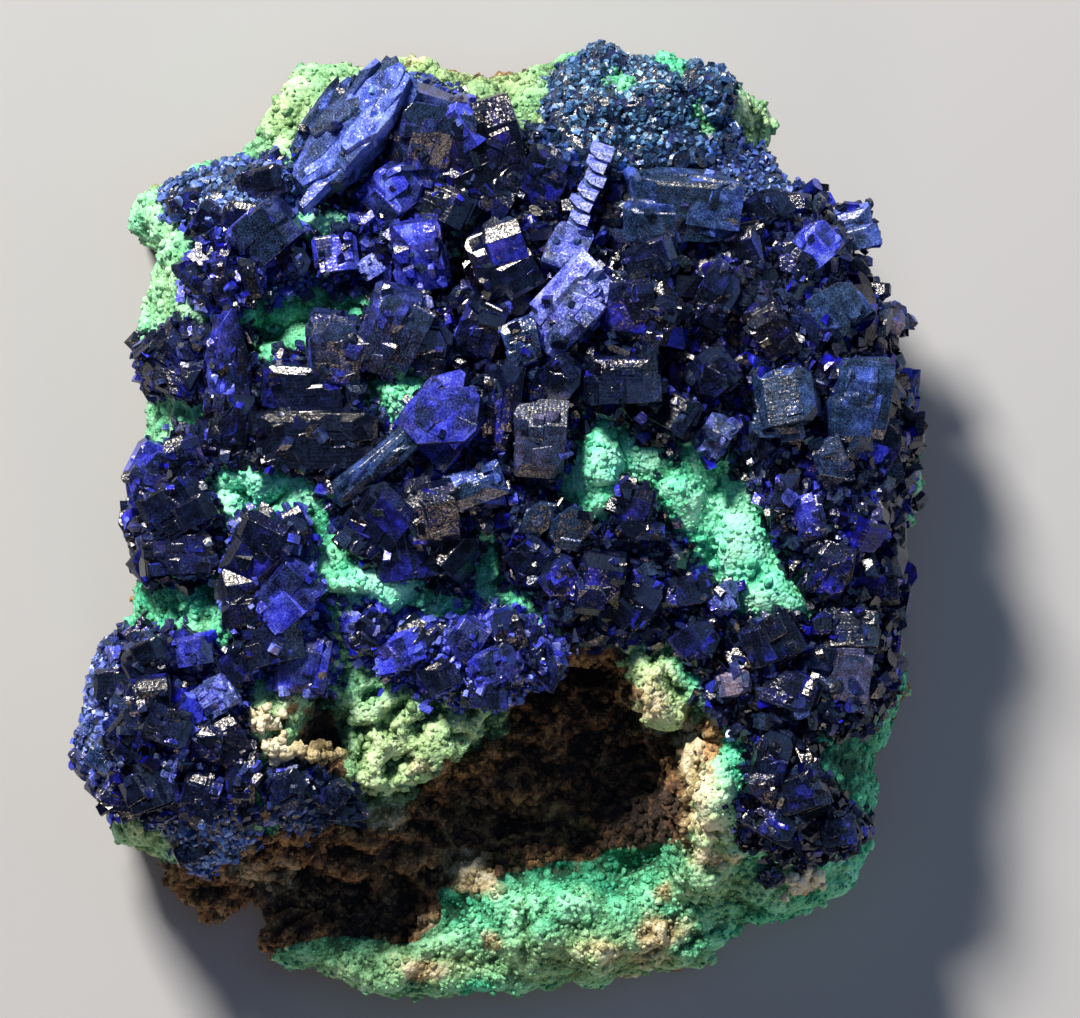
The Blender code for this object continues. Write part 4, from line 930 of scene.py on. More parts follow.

# %% [markdown]
# ## The named crystals
# Some crystals are big enough to know one by one. Each row gives the middle on the plan, length, width,
# thickness, the heading of its long axis, how far that axis rises, its roll, its habit and the height of
# its middle over the rock. A last word names its surface where that differs: most faces are clear and dark,
# but on some a late growth of minute steps leaves a violet or slate bloom, and a few small ones are
# silvery. Several surfaces also carry painted light: bright ones a painted glow of light from inside,
# slate, silvery, pale and stairs ones a painted sheen of mirrored light, and brown and rosy ones a painted
# warm reflection.

# %% The table of named crystals
CRYSTALS = {
    "azurite_blades": [
        (-13.8, 34.4, 13, 5, 3, 49, 14, -28, "blade", 2.2, "misty"),
        (-16.4, 35.9, 7.5, 2.1, 1.4, 52, 16, -20, "blade", 1.6, "slate"),
        (-7.5, 33.1, 9, 6, 4.5, 72, 30, 16, "block", 2, "speckled"),
        (-2.4, 32.9, 8.5, 6, 5, 104, 18, 8, "block", 1.8, "deep"),
        (-4.8, 35, 4.5, 4, 4, 30, 20, 10, "block", 3.4, "bright"),
        (-10.1, 29.6, 5, 4, 3, 35, 34, 0, "wedge", 1.8, "bright"),
        (-5.6, 28.3, 4.5, 3, 2.6, -25, 22, 0, "block", 1.4),
        (-8, 23.8, 6, 4, 3, 98, 26, 0, "prism", 2.4, "bright"),
        (-15.1, 23.8, 3.5, 3, 2.3, 8, 10, -10, "block", 1.2, "bright"),
        (-12.2, 22.8, 1.7, 1.6, 1.6, 30, 20, 10, "block", 2, "pale"),
        (-10.8, 38, 4, 2.3, 1.8, 20, 12, -10, "wedge", 1.6),
        (-0.9, 29.7, 4, 3, 2.6, 60, 20, 0, "wedge", 1.2),
    ],
    "azurite_crust": [
        (-15.4, 15.3, 6, 4, 3.5, 92, 26, 0, "block", 1.6, "speckled"),
        (-10.4, 17, 6.5, 5, 4, 62, 26, 6, "block", 2, "speckled"),
        (-18.3, 11.9, 6, 4.5, 3, 4, 4, 12, "block", 1.4),
        (-24.3, 8.6, 6, 3.5, 3, 84, 22, 0, "prism", 0.9),
        (-17.2, 7.9, 10, 4.5, 4, 0, 4, 10, "block", 1.2, "deep"),
        (-11.5, 5.7, 9, 2.2, 2.3, 38, 10, 0, "prism", 2.4, "slate"),
        (-5.7, 9.6, 6.5, 5.5, 3.5, 44, 10, -6, "rhomb", 2.6, "violet"),
        (-3.1, 3.6, 5, 3, 2.6, 20, 10, 0, "prism", 1.8, "slate"),
        (-11, 1.4, 5.5, 4.5, 4, 55, 30, 0, "block", 1.8),
        (-6.8, 1.4, 5, 4, 4, 100, 28, 0, "block", 2.4),
        (-8.9, -1.7, 6, 4.5, 4, 10, 16, 10, "wedge", 1.4),
        (-5.2, -1.6, 4, 3.5, 3.5, -40, 24, 0, "block", 1.2),
        (-12.4, -0.6, 4.5, 3.5, 3, 140, 24, 0, "wedge", 0.9),
        (-7.6, 19.2, 1.7, 1.6, 1.6, 12, 10, 8, "block", 2.2, "pale"),
        (-7.4, 15.4, 4.5, 3.5, 3, 80, 30, 0, "wedge", 1.4),
        (-19.2, 9.3, 3.5, 2.3, 2.3, 70, 30, 0, "wedge", 1.0),
        (5.4, 19.1, 8, 4.5, 4, 45, 14, -14, "prism", 3, "silvery"),
        (10.1, 19.2, 4.5, 3.5, 3, 80, 22, 10, "block", 1.8),
        (6.4, 28.3, 9, 1.9, 2.1, 69, 14, 0, "prism", 2.4, "stairs"),
        (5.1, 24.3, 3.5, 3, 2.4, 66, 8, 0, "block", 2.4, "silvery"),
        (15.2, 28.2, 8.5, 5, 3.5, -4, 3, 22, "block", 2.8, "slate"),
        (25.9, 28.3, 4.5, 2.4, 2.3, 36, 10, 0, "prism", 1.4, "violet"),
        (29, 26.1, 5.5, 3.5, 3.0, 14, 6, 0, "prism", 1.6, "misty"),
        (26.4, 24.5, 4.5, 3, 2.6, 40, 12, 10, "block", 1.6, "bright"),
        (24.9, 23.3, 2.8, 2.1, 1.9, -30, 16, 0, "wedge", 1.4),
        (31.3, 21.1, 2.6, 1.8, 1.8, 5, 8, 0, "block", 1, "silvery"),
        (33.5, 18.4, 2.8, 2.1, 1.8, 10, 8, 0, "block", 1),
        (24.1, 11.2, 5, 4.5, 3.5, 12, 18, -10, "block", 2.4, "slate"),
        (23.3, 9.1, 4, 1.9, 1.9, 4, 8, 0, "prism", 2.2, "slate"),
        (17.9, 8.0, 3.5, 2.4, 2.4, 60, 30, 0, "prism", 1.4, "silvery"),
        (30.5, 11.3, 6.5, 4.5, 3.5, 80, 16, 14, "block", 1.8, "slate"),
        (34.5, 11.4, 5, 3, 2.6, 86, 10, 0, "prism", 1, "bright"),
        (24, 2.4, 4.5, 1.9, 1.9, 84, 20, 0, "prism", 1.8),
        (31.9, 1.9, 3.5, 1.4, 1.4, 90, 12, 0, "prism", 1.2),
        (30.6, 0.8, 2.8, 1.3, 1.3, 90, 12, 0, "prism", 1.2),
        (26.2, 1, 3.5, 2.3, 2.1, 102, 16, 0, "block", 1.6, "bright"),
        (29.7, -8.9, 4.5, 3, 2.4, 0, 6, -8, "block", 1.6),
        (29.7, -12.7, 5, 3.5, 3, 82, 6, 0, "block", 1.4, "brown"),
        (19.6, -13.6, 2.6, 1.8, 1.8, 10, 12, 0, "block", 1.2, "rosy"),
        (18.5, -6.3, 2.6, 2.1, 2.1, 30, 60, 0, "prism", 1.4, "silvery"),
        (15.7, -5.4, 4, 2.4, 2.4, 8, 14, 0, "wedge", 1.4),
        (10.5, 1.8, 4, 3, 3, 70, 16, 0, "block", 1.6),
        (5.2, 0, 4, 3, 1.4, 75, 34, 0, "blade", 2.2, "slate"),
        (2.6, 0.9, 3, 2.3, 1.2, 80, 34, 0, "blade", 2.2, "slate"),
        (12, -0.3, 2.8, 1.3, 1.4, 0, 10, 0, "prism", 1.8),
        (2.7, 7.5, 6, 4, 3.5, 86, 16, 0, "block", 2.4, "brown"),
        (-0.8, 10.5, 7.5, 3, 3, 86, 24, 0, "prism", 2),
        (9.8, 13, 5.5, 3.5, 3, 0, 4, 10, "block", 2.4),
        (0.9, 16.3, 3.5, 2.6, 2.4, 110, 16, 0, "block", 2.6, "slate"),
        (-0.9, 23.3, 5.5, 4.5, 4, 110, 16, 0, "block", 1.4),
        (3.1, 30.6, 4.5, 3.5, 3, 60, 26, 0, "block", 1.4),
        (12.2, 23.3, 4.5, 3, 2.6, 20, 20, 0, "wedge", 1.4),
        (18, 20.1, 5, 3, 2.8, 60, 26, 0, "wedge", 1.6),
        (13.1, 18.2, 4, 2.4, 2.3, 70, 26, 0, "wedge", 1.8),
        (21.9, 27.8, 4.5, 2.6, 2.4, 30, 18, 0, "wedge", 1.4),
        (20.6, 24.3, 4, 2.6, 2.4, 100, 20, 0, "block", 1.4),
        (28.2, 19.1, 5, 3.4, 2.8, 30, 18, 0, "wedge", 1.6, "slate"),
        (22.8, 17.3, 4.5, 3, 2.8, 120, 26, 0, "block", 1.8, "deep"),
        (17.7, 13.6, 4.5, 3.5, 3, 40, 26, 0, "wedge", 1.6),
        (14.2, 10.2, 4, 3, 2.6, -30, 24, 0, "block", 1.2),
        (28, 5.9, 4, 2.6, 2.4, 110, 20, 0, "wedge", 1.4, "slate"),
        (32.4, 6.8, 4, 2.8, 2.4, 60, 18, 0, "block", 1.2),
        (16.6, -9.8, 3.5, 2.8, 2.6, 30, 24, 0, "wedge", 1.2),
        (22.8, -9.8, 4.5, 3.5, 3, 20, 20, 0, "block", 1.4),
        (24.5, -14.2, 4.5, 3, 2.8, -20, 20, 0, "wedge", 1.4),
        (28, -3.7, 4.5, 3, 2.6, 70, 20, 0, "block", 1.4),
        (32.4, -4.5, 4, 2.6, 2.4, 100, 14, 0, "wedge", 1),
        (7.9, -4.5, 5, 3.5, 3, 80, 26, 0, "block", 1.8),
        (4.4, -4.5, 4, 3, 2.6, 120, 26, 0, "wedge", 1.6),
        (11.4, -6.3, 4.5, 3, 2.6, 60, 24, 0, "wedge", 1.4),
        (1.8, -2.4, 3.5, 2.6, 2.4, 40, 26, 0, "block", 1.6),
        (-2.6, 17.3, 4.5, 3.5, 3.5, 70, 26, 0, "block", 1.4),
        (4.4, 12.9, 4, 3, 2.8, 50, 26, 0, "wedge", 1.6),
        (22.9, -19.8, 4, 2.8, 2.6, 70, 20, 0, "wedge", 1.2),
        (25.4, -23.1, 4, 3, 2.6, 20, 18, 0, "block", 1.2),
        (22.9, -25.5, 4.5, 2.6, 2.4, -30, 16, 0, "wedge", 1.2),
        (28.2, -26.6, 4, 2.3, 2.1, 10, 12, 0, "block", 1),
        (22.2, -22.6, 3, 2.3, 2.1, 110, 24, 0, "block", 1.2),
        (23.0, -30.8, 1.9, 1.5, 1.3, 30, 8, 0, "block", 0.3, "deep"),
    ],
    "azurite_shoulder": [
        (-26.5, 26.8, 3.5, 2.3, 1.9, 60, 24, 0, "block", 1.2),
        (-23.8, 26.9, 3.5, 2.6, 2.3, 80, 22, 0, "block", 1.4),
        (-21.2, 25.9, 5, 4, 3.5, 40, 24, 0, "block", 1.4, "speckled"),
        (-27.1, 21.2, 4, 1.8, 1.6, 125, 24, 0, "prism", 1.2),
        (-25, 21.3, 4.5, 1.9, 1.8, 105, 24, 0, "prism", 1.2),
        (-22.9, 21.5, 4, 1.9, 1.8, 85, 24, 0, "prism", 1.2),
        (-18.7, 23.3, 2.6, 2.3, 2.1, 30, 26, 0, "wedge", 1.2),
        (-28.3, 28.3, 3, 2.1, 1.9, 20, 16, 0, "wedge", 1),
        (-21.7, 30.1, 4, 2.6, 2.3, 20, 18, 0, "block", 1.2),
    ],
    "azurite_knot": [
        (-30.2, 15.4, 4.5, 3.5, 2.8, 40, 26, 0, "prism", 1.4),
        (-29.2, 13.1, 4, 2.8, 2.4, -20, 22, 0, "prism", 1.2),
        (-31.3, 13.6, 3.5, 2.3, 2.1, 100, 20, 0, "prism", 1),
        (-25.2, 14.5, 8, 2.3, 2.1, 86, 16, 0, "blade", 1.4, "bright"),
        (-23.6, 13.6, 7, 1.8, 1.8, 92, 16, 0, "blade", 1.4),
    ],
    "azurite_rosette": [
        (-31.3, 4.4, 5, 4, 3, 70, 20, 0, "blade", 1.6, "bright"),
        (-29, 1.8, 5.5, 4, 3, 30, 18, 0, "block", 1.6),
        (-28.2, 5.8, 4, 2.8, 2.4, 110, 22, 0, "block", 1.4),
        (-32.2, 0, 4.5, 3.5, 2.8, 120, 18, 0, "block", 1.4),
        (-29, -2.1, 5.5, 3.5, 2.8, 0, 12, 0, "block", 1.4),
        (-31.5, -2.8, 3.5, 2.6, 2.3, 50, 18, 0, "wedge", 1),
    ],
    "azurite_column": [
        (-21.7, -1.8, 6, 4.5, 4, 60, 24, 0, "block", 1.6),
        (-23.1, -5.6, 5, 4, 3.5, 100, 20, 0, "block", 1.4),
        (-19.4, -5.6, 5.5, 4, 3.5, 40, 20, 0, "block", 1.4, "bright"),
        (-20.6, -9.6, 5, 4, 3.5, 10, 16, 0, "block", 1.2),
        (-18, -11.9, 4.5, 4, 3, 80, 10, 0, "block", 1, "bright"),
        (-18.7, -0.7, 4, 2.6, 2.4, 120, 26, 0, "wedge", 1.4),
    ],
    "azurite_brow": [
        (-12.1, -8.6, 3.5, 2.4, 2.3, 60, 26, 0, "wedge", 1.2),
        (-9.6, -10.7, 4, 2.6, 2.4, 20, 20, 0, "block", 1.2, "bright"),
        (-13.1, -9.8, 2.6, 1.9, 1.8, 110, 20, 0, "wedge", 1),
        (-8, -9.3, 3, 2.3, 2.1, -40, 26, 0, "wedge", 1.2),
        (-3.8, -9.8, 3.5, 2.8, 2.6, 60, 26, 0, "block", 1.4, "bright"),
        (-1.4, -11.9, 4, 2.8, 2.6, 20, 20, 0, "block", 1.4, "bright"),
        (-2.3, -14.5, 4, 2.3, 2.1, 0, 10, 0, "wedge", 1),
        (-0.2, -8.8, 3.5, 2.4, 2.3, 110, 26, 0, "wedge", 1.4),
        (2.3, -10.5, 3.5, 1.2, 1, 86, 10, 0, "blade", 1.6),
        (3.3, -12.6, 3, 2.1, 1.9, 70, 18, 0, "wedge", 1.2),
        (-6.1, -12.9, 3, 2.3, 2.1, 30, 16, 0, "wedge", 1),
    ],
    "azurite_lobe": [
        (-27.6, -10.7, 3, 2.4, 2.3, 10, 12, 0, "block", 1.4, "bright"),
        (-24, -11.7, 3.5, 2.3, 2.1, 50, 20, 0, "block", 1.4),
        (-26, -14.9, 3.5, 2.8, 2.4, 30, 20, 0, "prism", 1.4, "silvery"),
        (-34.9, -13.6, 3, 2.3, 2.1, 0, 14, 0, "block", 1.2),
        (-35.6, -19.9, 2.6, 2.1, 1.9, 60, 16, 0, "block", 1.2, "slate"),
        (-26.4, -18.7, 3, 2.4, 2.3, 80, 20, 0, "wedge", 1.4),
        (-29.2, -20.5, 3, 1, 1, 60, 16, 0, "prism", 1.8, "silvery"),
        (-31.5, -11.5, 4, 3, 2.8, 30, 24, 0, "block", 1.4),
        (-31.5, -15.5, 4.5, 3.5, 3, 100, 24, 0, "block", 1.6),
        (-29.7, -17.3, 4, 3, 2.6, -20, 20, 0, "wedge", 1.6),
        (-33.2, -17.8, 4, 3, 2.8, 50, 24, 0, "block", 1.4),
        (-24.8, -18.4, 3.5, 3, 2.4, 120, 20, 0, "block", 1.2),
        (-31.5, -22.9, 4, 3, 2.4, 20, 18, 0, "wedge", 1.4),
        (-27.1, -23.8, 4, 2.8, 2.4, 70, 18, 0, "block", 1.2),
        (-23.6, -22, 4, 2.4, 2.3, 90, 14, 0, "block", 1),
        (-34.3, -23.8, 3, 2.3, 2.1, 110, 14, 0, "wedge", 1),
        (-28, -28, 3, 2.1, 1.9, 30, 10, 0, "wedge", 0.8),
    ],
    "azurite_shelf": [
        (-19.6, -22.8, 3.5, 2.3, 2.1, 30, 16, 0, "wedge", 1),
        (-16.8, -24.8, 7.5, 2.1, 1.6, -6, 4, 0, "blade", 0.8),
        (-15.4, -23.4, 3, 1.9, 1.8, 50, 16, 0, "wedge", 1),
    ],
}

# How light the blue is, how much bloom lies on the faces, and the tint: 1 is brown, -1 is teal.
# Painted light in some finishes: bright paints a glow of light from inside, slate, silvery, pale and stairs
# paint a sheen of mirrored light over a real bloom, and brown and rosy paint a warm reflection.
FINISHES = {
    "clear": (0.22, 0.10, 0.0), "deep": (0.08, 0.08, 0.10), "speckled": (0.30, 0.35, 0.0),
    "bright": (0.56, 0.26, 0.0), "violet": (0.48, 0.30, 0.0), "misty": (0.52, 0.56, -0.2),
    "slate": (0.32, 0.42, -0.25), "silvery": (0.55, 1.0, 0.0), "pale": (0.80, 1.35, 0.0),
    "stairs": (0.92, 1.5, 0.0), "brown": (0.30, 0.50, 0.85), "rosy": (0.50, 0.75, 1.0),
}

# %% [markdown]
# ## Parallel growth
# A large azurite crystal is seldom one clean block. It is a stack of smaller ones that share its
# directions, so its faces carry low steps and terraces that all flash at once. To copy that, each named
# crystal gets a handful of slabs with the same rotation, sunk into it so that they stand a few tenths of a
# millimetre proud, and a mosaic of subcrystals a few degrees askew, which is what makes azurite glitter.
# One crystal grew as a flight of stairs instead, a row of plates each set back from the last.

# %% Grow a crystal with its steps
WORN_EDGE = 0.05
STEP_RISE = (0.10, 0.42)
NICKS = 4
MOSAIC_PER_MM = 1.9
SMOOTH = ("violet", "misty", "slate", "brown", "rosy", "pale")  # finishes of crystals that grew undisturbed
STAIR_PLATES = 9
NAMED_SCALE = 1.08
MORE_LIFT = 0.6  # mm, because the druse around a named crystal buries its foot


def turned(azimuth, tilt, roll):
    """The rotation of a crystal whose long axis heads to azimuth, is raised by tilt and turned by roll."""
    around = Matrix.Rotation(math.radians(azimuth), 3, "Z")
    raised = Matrix.Rotation(math.radians(-tilt), 3, "Y")
    return np.array(around @ raised @ Matrix.Rotation(math.radians(roll), 3, "X"))


def grow(heap, centre, turn, size, habit, finish, rng):
    """Adds one crystal, its parallel steps and its mosaic of subcrystals to a heap."""
    tone, bloom, tint = FINISHES[finish]
    tone += rng.uniform(-0.08, 0.08)
    origin = np.array([rng.uniform(0, 60) for _ in range(3)])

    def block(shape, middle, askew, lighter):
        """One block of the crystal, askew by about some degrees from the rest."""
        corners, loops, totals = shape
        lean = np.array(Euler([math.radians(rng.gauss(0, askew)) for _ in range(3)]).to_matrix())
        local = corners @ lean.T + middle
        heap.put(
            local @ turn.T + centre, loops, totals,
            tone=tone + lighter, bloom=bloom, tint=tint, own_place=local + origin,
        )

    def cut(own_habit, sides, nicks):
        return whittled(own_habit, 0.06, rng, sides, min(WORN_EDGE, min(sides) * 0.06), nicks)

    if finish == "stairs":
        block(cut("prism", [side * 0.72 for side in size], 0), (0, 0, -0.2), 0, -0.8)
        for number in range(STAIR_PLATES):
            share = number / (STAIR_PLATES - 1) - 0.5
            middle = (share * size[0], 0.25 * math.sin(number * 1.9), share * -0.6 + 0.1 * (number % 2))
            sides = (size[0] / STAIR_PLATES * 0.85, size[1] * rng.uniform(0.8, 1.1), size[2])
            block(cut("chip", sides, 1), middle, 3, 0)
        return
    calm = 0.3 if finish in SMOOTH else 1
    block(cut(habit, size, NICKS), (0, 0, 0), 0, 0)
    for _ in range(2):
        sides = [side * rng.uniform(0.5, 0.85) for side in size]
        middle = [
            rng.choice((-1, 1)) * (side * rng.uniform(1.0, 1.16) - own) / 2 for side, own in zip(size, sides)
        ]
        block(cut(rng.choice((habit, "block")), sides, 2), middle, 5, rng.uniform(-0.10, 0.10))
    for _ in range(int(2 + size[0] * 0.5)):
        sides = [side * rng.uniform(0.22, 0.62) for side in size]
        axis = rng.choice((0, 1, 1, 2, 2, 2))
        middle = [rng.uniform(-0.42, 0.42) * (side - own) for side, own in zip(size, sides)]
        way = 1 if axis == 2 else rng.choice((-1, 1))
        middle[axis] = way * ((size[axis] - sides[axis]) / 2 * 0.94 + rng.uniform(*STEP_RISE) * 0.5)
        block(cut(rng.choice((habit, "chip")), sides, 1), middle, 1.5, rng.uniform(-0.08, 0.10))
    for _ in range(int((4 + MOSAIC_PER_MM * size[0]) * calm)):
        sides = np.array([max(side * rng.uniform(0.10, 0.30), 0.45) for side in size])
        axis = rng.choice((0, 1, 1, 2, 2, 2, 2))
        way = 1 if axis == 2 else rng.choice((-1, 1))
        middle = [rng.uniform(-0.42, 0.42) * side for side in size]
        sides[axis] = max(sides[axis], 0.4 * size[axis])
        middle[axis] = way * (size[axis] / 2 - sides[axis] / 2 + rng.uniform(-0.06, 0.26))
        corners, loops, totals = rng.choice(TEMPLATES[rng.choice(("block", "chip", "wedge"))])
        block((corners * sides / 2, loops, totals), middle, 7, rng.uniform(-0.14, 0.16) * calm)


# %% [markdown]
# ## Druse
# Between the named crystals the beds are paved with smaller ones: a few millimetres long in the middle of a
# bed, and down to sugar at its rims, on the crest and on the brow over the hollow. The crust they stand on
# is a sheet lifted off the rock inside each bed and pressed back down at its border. The crystals lean
# every way, as druse does, and the small ones climb the feet of the large.

# %% How coarse the druse is, and where
# Each bed: spacing and length of its middling crystals, then their brightness and bloom.
DRUSE = {
    "azurite_blades": (2.1, (1.4, 3.4), 0.34, 0.20),
    "azurite_crust": (1.85, (1.5, 3.9), 0.24, 0.15),
    "azurite_shoulder": (1.7, (1.2, 2.8), 0.52, 0.36),
    "azurite_knot": (1.8, (1.2, 3.0), 0.30, 0.18),
    "azurite_rosette": (2.0, (1.4, 3.2), 0.30, 0.16),
    "azurite_column": (2.0, (1.4, 3.2), 0.54, 0.34),
    "azurite_brow": (1.7, (1.0, 2.4), 0.70, 0.42),
    "azurite_lobe": (1.9, (1.4, 3.2), 0.30, 0.20),
    "azurite_shelf": (1.8, (1.0, 2.2), 0.26, 0.40),
}
# Sugar patches: x, y, reach x, reach y, size against the common size, then brightness, bloom and tint.
# Where the size is 1 only the colour changes.
SUGAR = [
    (11.5, 38.0, 9.8, 7.0, 0.52, 0.46, 0.80, -1.0), (-12.5, 38.8, 6, 2.4, 0.6, 0.60, 0.6, -0.5),
    (21.5, 31, 4.5, 3.5, 0.6, 0.52, 0.5, -0.4), (-27.5, -28, 6.5, 3.0, 0.6, 0.74, 0.75, -0.5),
    (-1, -13.5, 6, 3.2, 0.6, 0.80, 0.34, 0.0), (-9.5, -12, 5.5, 3, 0.65, 0.74, 0.30, 0.0),
    (-36.5, -15, 2.5, 7, 0.65, 0.62, 0.85, -0.2), (-25.5, 29.6, 7.5, 3.2, 0.65, 0.60, 0.80, -0.45),
    (-16, -26, 6, 1.5, 0.6, 0.42, 0.8, -0.3), (25.5, -23.5, 6, 7.5, 1.0, 0.08, 0.06, 0.0),
    (19.5, 19.5, 4.2, 3.6, 1.0, 0.24, 0.35, 0.45), (-5.5, 22.5, 4.5, 2.5, 1.0, 0.12, 0.2, 0.3),
]
MICRO_LENGTH = (0.55, 1.45)
MICRO_GAP = 0.54
MICRO_SEEDS_PER_MM2 = 4.5
TOP = 30.5  # mm, over which hardly a crystal may reach
CRUST_LIFT = 0.8
CRUST_BORDER = 0.25  # mm that the crust runs on past its bed
CRUST_SINK = 0.12  # mm that its border is pressed into the rock
FRINGE_REACH = 0.9


def sugar(points):
    """The strongest sugar patch at each point: its weight, then its size, brightness, bloom and tint."""
    found = np.tile((1.0, 0.0, 0.0, 0.0), (len(points), 1))
    strongest = np.full(len(points), 1e-6)
    for x, y, reach_x, reach_y, *look in SUGAR:
        weight = np.exp(-(spread_from(points, x, y, reach_x, reach_y) ** 2))
        found[weight > strongest] = look
        strongest = np.maximum(weight, strongest)
    return strongest, *found.T


def crust_sheet(depth, lift):
    """Points and faces of the rock inside a bed, raised by lift in mm and pressed down at the border."""
    chosen = (depth[rock_faces] > -CRUST_BORDER).all(axis=1)
    used, faces = np.unique(rock_faces[chosen], return_inverse=True)
    rise = np.clip((depth[used] + CRUST_BORDER) / 1.6, 0, 1)
    rise = rise * rise * (3 - 2 * rise)
    points = rock_points[used] + rock_normals[used] * (rise * (lift + CRUST_SINK) - CRUST_SINK)[:, None]
    return points, faces.reshape(-1, 3)


def fan(loops, totals):
    """Triangles of a list of convex faces."""
    starts = starts_of(totals)
    made = []
    for sides in np.unique(totals):
        corner = loops[starts[totals == sides][:, None] + np.arange(sides)]
        made += [corner[:, (0, step, step + 1)] for step in range(1, sides - 1)]
    return np.concatenate(made)


def plant_crystals(heap, habits, places, turns, sizes, tone, bloom, tint, rng):
    """Small crystals of mixed habits at many places."""
    kinds = [template for habit in habits for template in TEMPLATES[habit]]
    choice = rng.integers(len(kinds), size=len(places))
    origin = rng.uniform(0, 60, (len(places), 3))
    for number, template in enumerate(kinds):
        mine = choice == number
        if mine.any():
            heap.plant(
                template, places[mine], turns[mine], sizes[mine],
                tone=tone[mine], bloom=bloom[mine], tint=tint[mine], origin=origin[mine],
            )


def proportions(length, rng):
    """Lengths, widths and thicknesses of crystals from their lengths."""
    width = length * rng.uniform(0.38, 0.85, len(length))
    thickness = length * rng.uniform(0.25, 0.7, len(length))
    return np.stack((length, width, thickness), axis=1)


# %% Grow each bed
CRYSTAL_FIELDS = ("tone", "bloom", "tint", "own_place")


def named_crystals(name, heap):
    """The bed's named crystals, each on the rock under it."""
    rng = random.Random(name)
    for x, y, length, width, thickness, azimuth, tilt, roll, habit, lift, *finish in CRYSTALS[name]:
        height, _ = height_at(cad_rock_tree, x, y)
        size = [side * NAMED_SCALE for side in (length, width, thickness)]
        turn = turned(azimuth, tilt, roll)
        highest = TOP - np.abs(turn[2]) @ size / 2
        centre = np.array((x, y, min(height + lift + MORE_LIFT, highest)))
        grow(heap, centre, turn, size, habit, (finish or ["clear"])[0], rng)


def middling_crystals(name, heap, sheet, rng):
    """Crystals of a few millimetres that pave the bed."""
    spacing, lengths, tone, bloom = DRUSE[name]
    points, faces = sheet
    _, area = facing_and_area(points, faces)
    places, normals = seeds_on(points, faces, np.ones(len(faces)), int(area.sum() / spacing**2 * 6), rng)
    coarse = 0.5 + 0.8 * np.array([noise.noise(Vector(place) / LUMP) for place in places])
    share = np.clip(coarse * rng.uniform(0.3, 1.2, len(places)), 0, 1)
    length = lengths[0] + (lengths[1] - lengths[0]) * share
    length *= np.clip(0.35 + bed_depth(name, places) / 2.2, 0.35, 1)
    weight, fine, bright, _, tint = sugar(places)
    length *= 1 - weight * (1 - fine)
    kept = thinned(places, spacing * 0.36 + length * 0.34)
    kept = kept[((weight < 0.5) | (fine == 1))[kept] & (places[kept, 2] < TOP - length[kept] * 0.7)]
    places, normals, length = places[kept], normals[kept], length[kept]
    turns = turns_about(normals, 70, rng)
    tones = tone + rng.normal(0, 0.16, len(places)) + weight[kept] * (bright[kept] - tone)
    blooms = np.clip(bloom + rng.normal(0, 0.2, len(places)), 0, 1.2)
    sizes = proportions(length, rng)
    places = places + normals * (length * 0.16)[:, None]
    tints = weight[kept] * tint[kept]
    habits = ("block", "wedge", "prism", "rhomb")
    plant_crystals(heap, habits, places, turns, sizes, tones, blooms, tints, rng)


def micro_crystals(name, heap, sources, rng):
    """Sugar over the crust, up the feet of the larger crystals and out over the malachite beside the bed."""
    _, _, tone, bloom = DRUSE[name]
    for points, faces, weights in sources:
        _, area = facing_and_area(points, faces)
        count = max(int((area * weights).sum() * MICRO_SEEDS_PER_MM2), 8)
        places, normals = seeds_on(points, faces, weights, count, rng)
        weight, fine, bright, bloomed, tint = sugar(places)
        length = rng.uniform(*MICRO_LENGTH, len(places)) * (1 - weight * (1 - fine))
        kept = thinned(places, MICRO_GAP * length)
        kept = kept[places[kept, 2] < TOP - length[kept] / 2]
        places, normals, length = places[kept], normals[kept], length[kept]
        weight, bright, bloomed, tints = weight[kept], bright[kept], bloomed[kept], (weight * tint)[kept]
        tones = tone + rng.normal(0, 0.15, len(places)) + weight * (bright - tone)
        blooms = np.clip(bloom + rng.normal(0, 0.22, len(places)) + weight * (bloomed - bloom), 0, 1.3)
        turns = turns_about(normals, 75, rng)
        places = places + normals * (length * 0.10)[:, None]
        sizes = proportions(length, rng)
        habits = ("grit", "grit", "grit", "chip")
        plant_crystals(heap, habits, places, turns, sizes, tones, blooms, tints, rng)


def finish_piece(heap, name, *nodes):
    """Makes the heap a piece of azurite that stands for CAD nodes."""
    piece = link(heap.mesh(name), name)
    piece.data.materials.append(azurite)
    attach(piece, "root")
    if nodes:
        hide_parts(*nodes)


def places_for_sugar(depth, sheet, points, faces):
    """Where sugar may grow, as points, faces and weights: on the crust, on crystals and beside the bed."""
    middles = points[faces].mean(axis=1)
    over_rock = np.array([z - height_at(rock_tree, x, y)[0] for x, y, z in middles])
    feet = (0.006 + 0.18 * np.clip(1.6 - (over_rock - CRUST_LIFT) / 1.2, 0, 1)) * (over_rock > 0.6)
    edge_depth = depth[rock_faces].mean(axis=1)
    fringe = 0.16 * np.clip(1 + edge_depth / FRINGE_REACH, 0, 1) * (edge_depth < 0.3)
    return (
        (*sheet, np.ones(len(sheet[1]))),
        (points, faces, feet + NEARLY_NONE),
        (rock_points, rock_faces, fringe + NEARLY_NONE),
    )


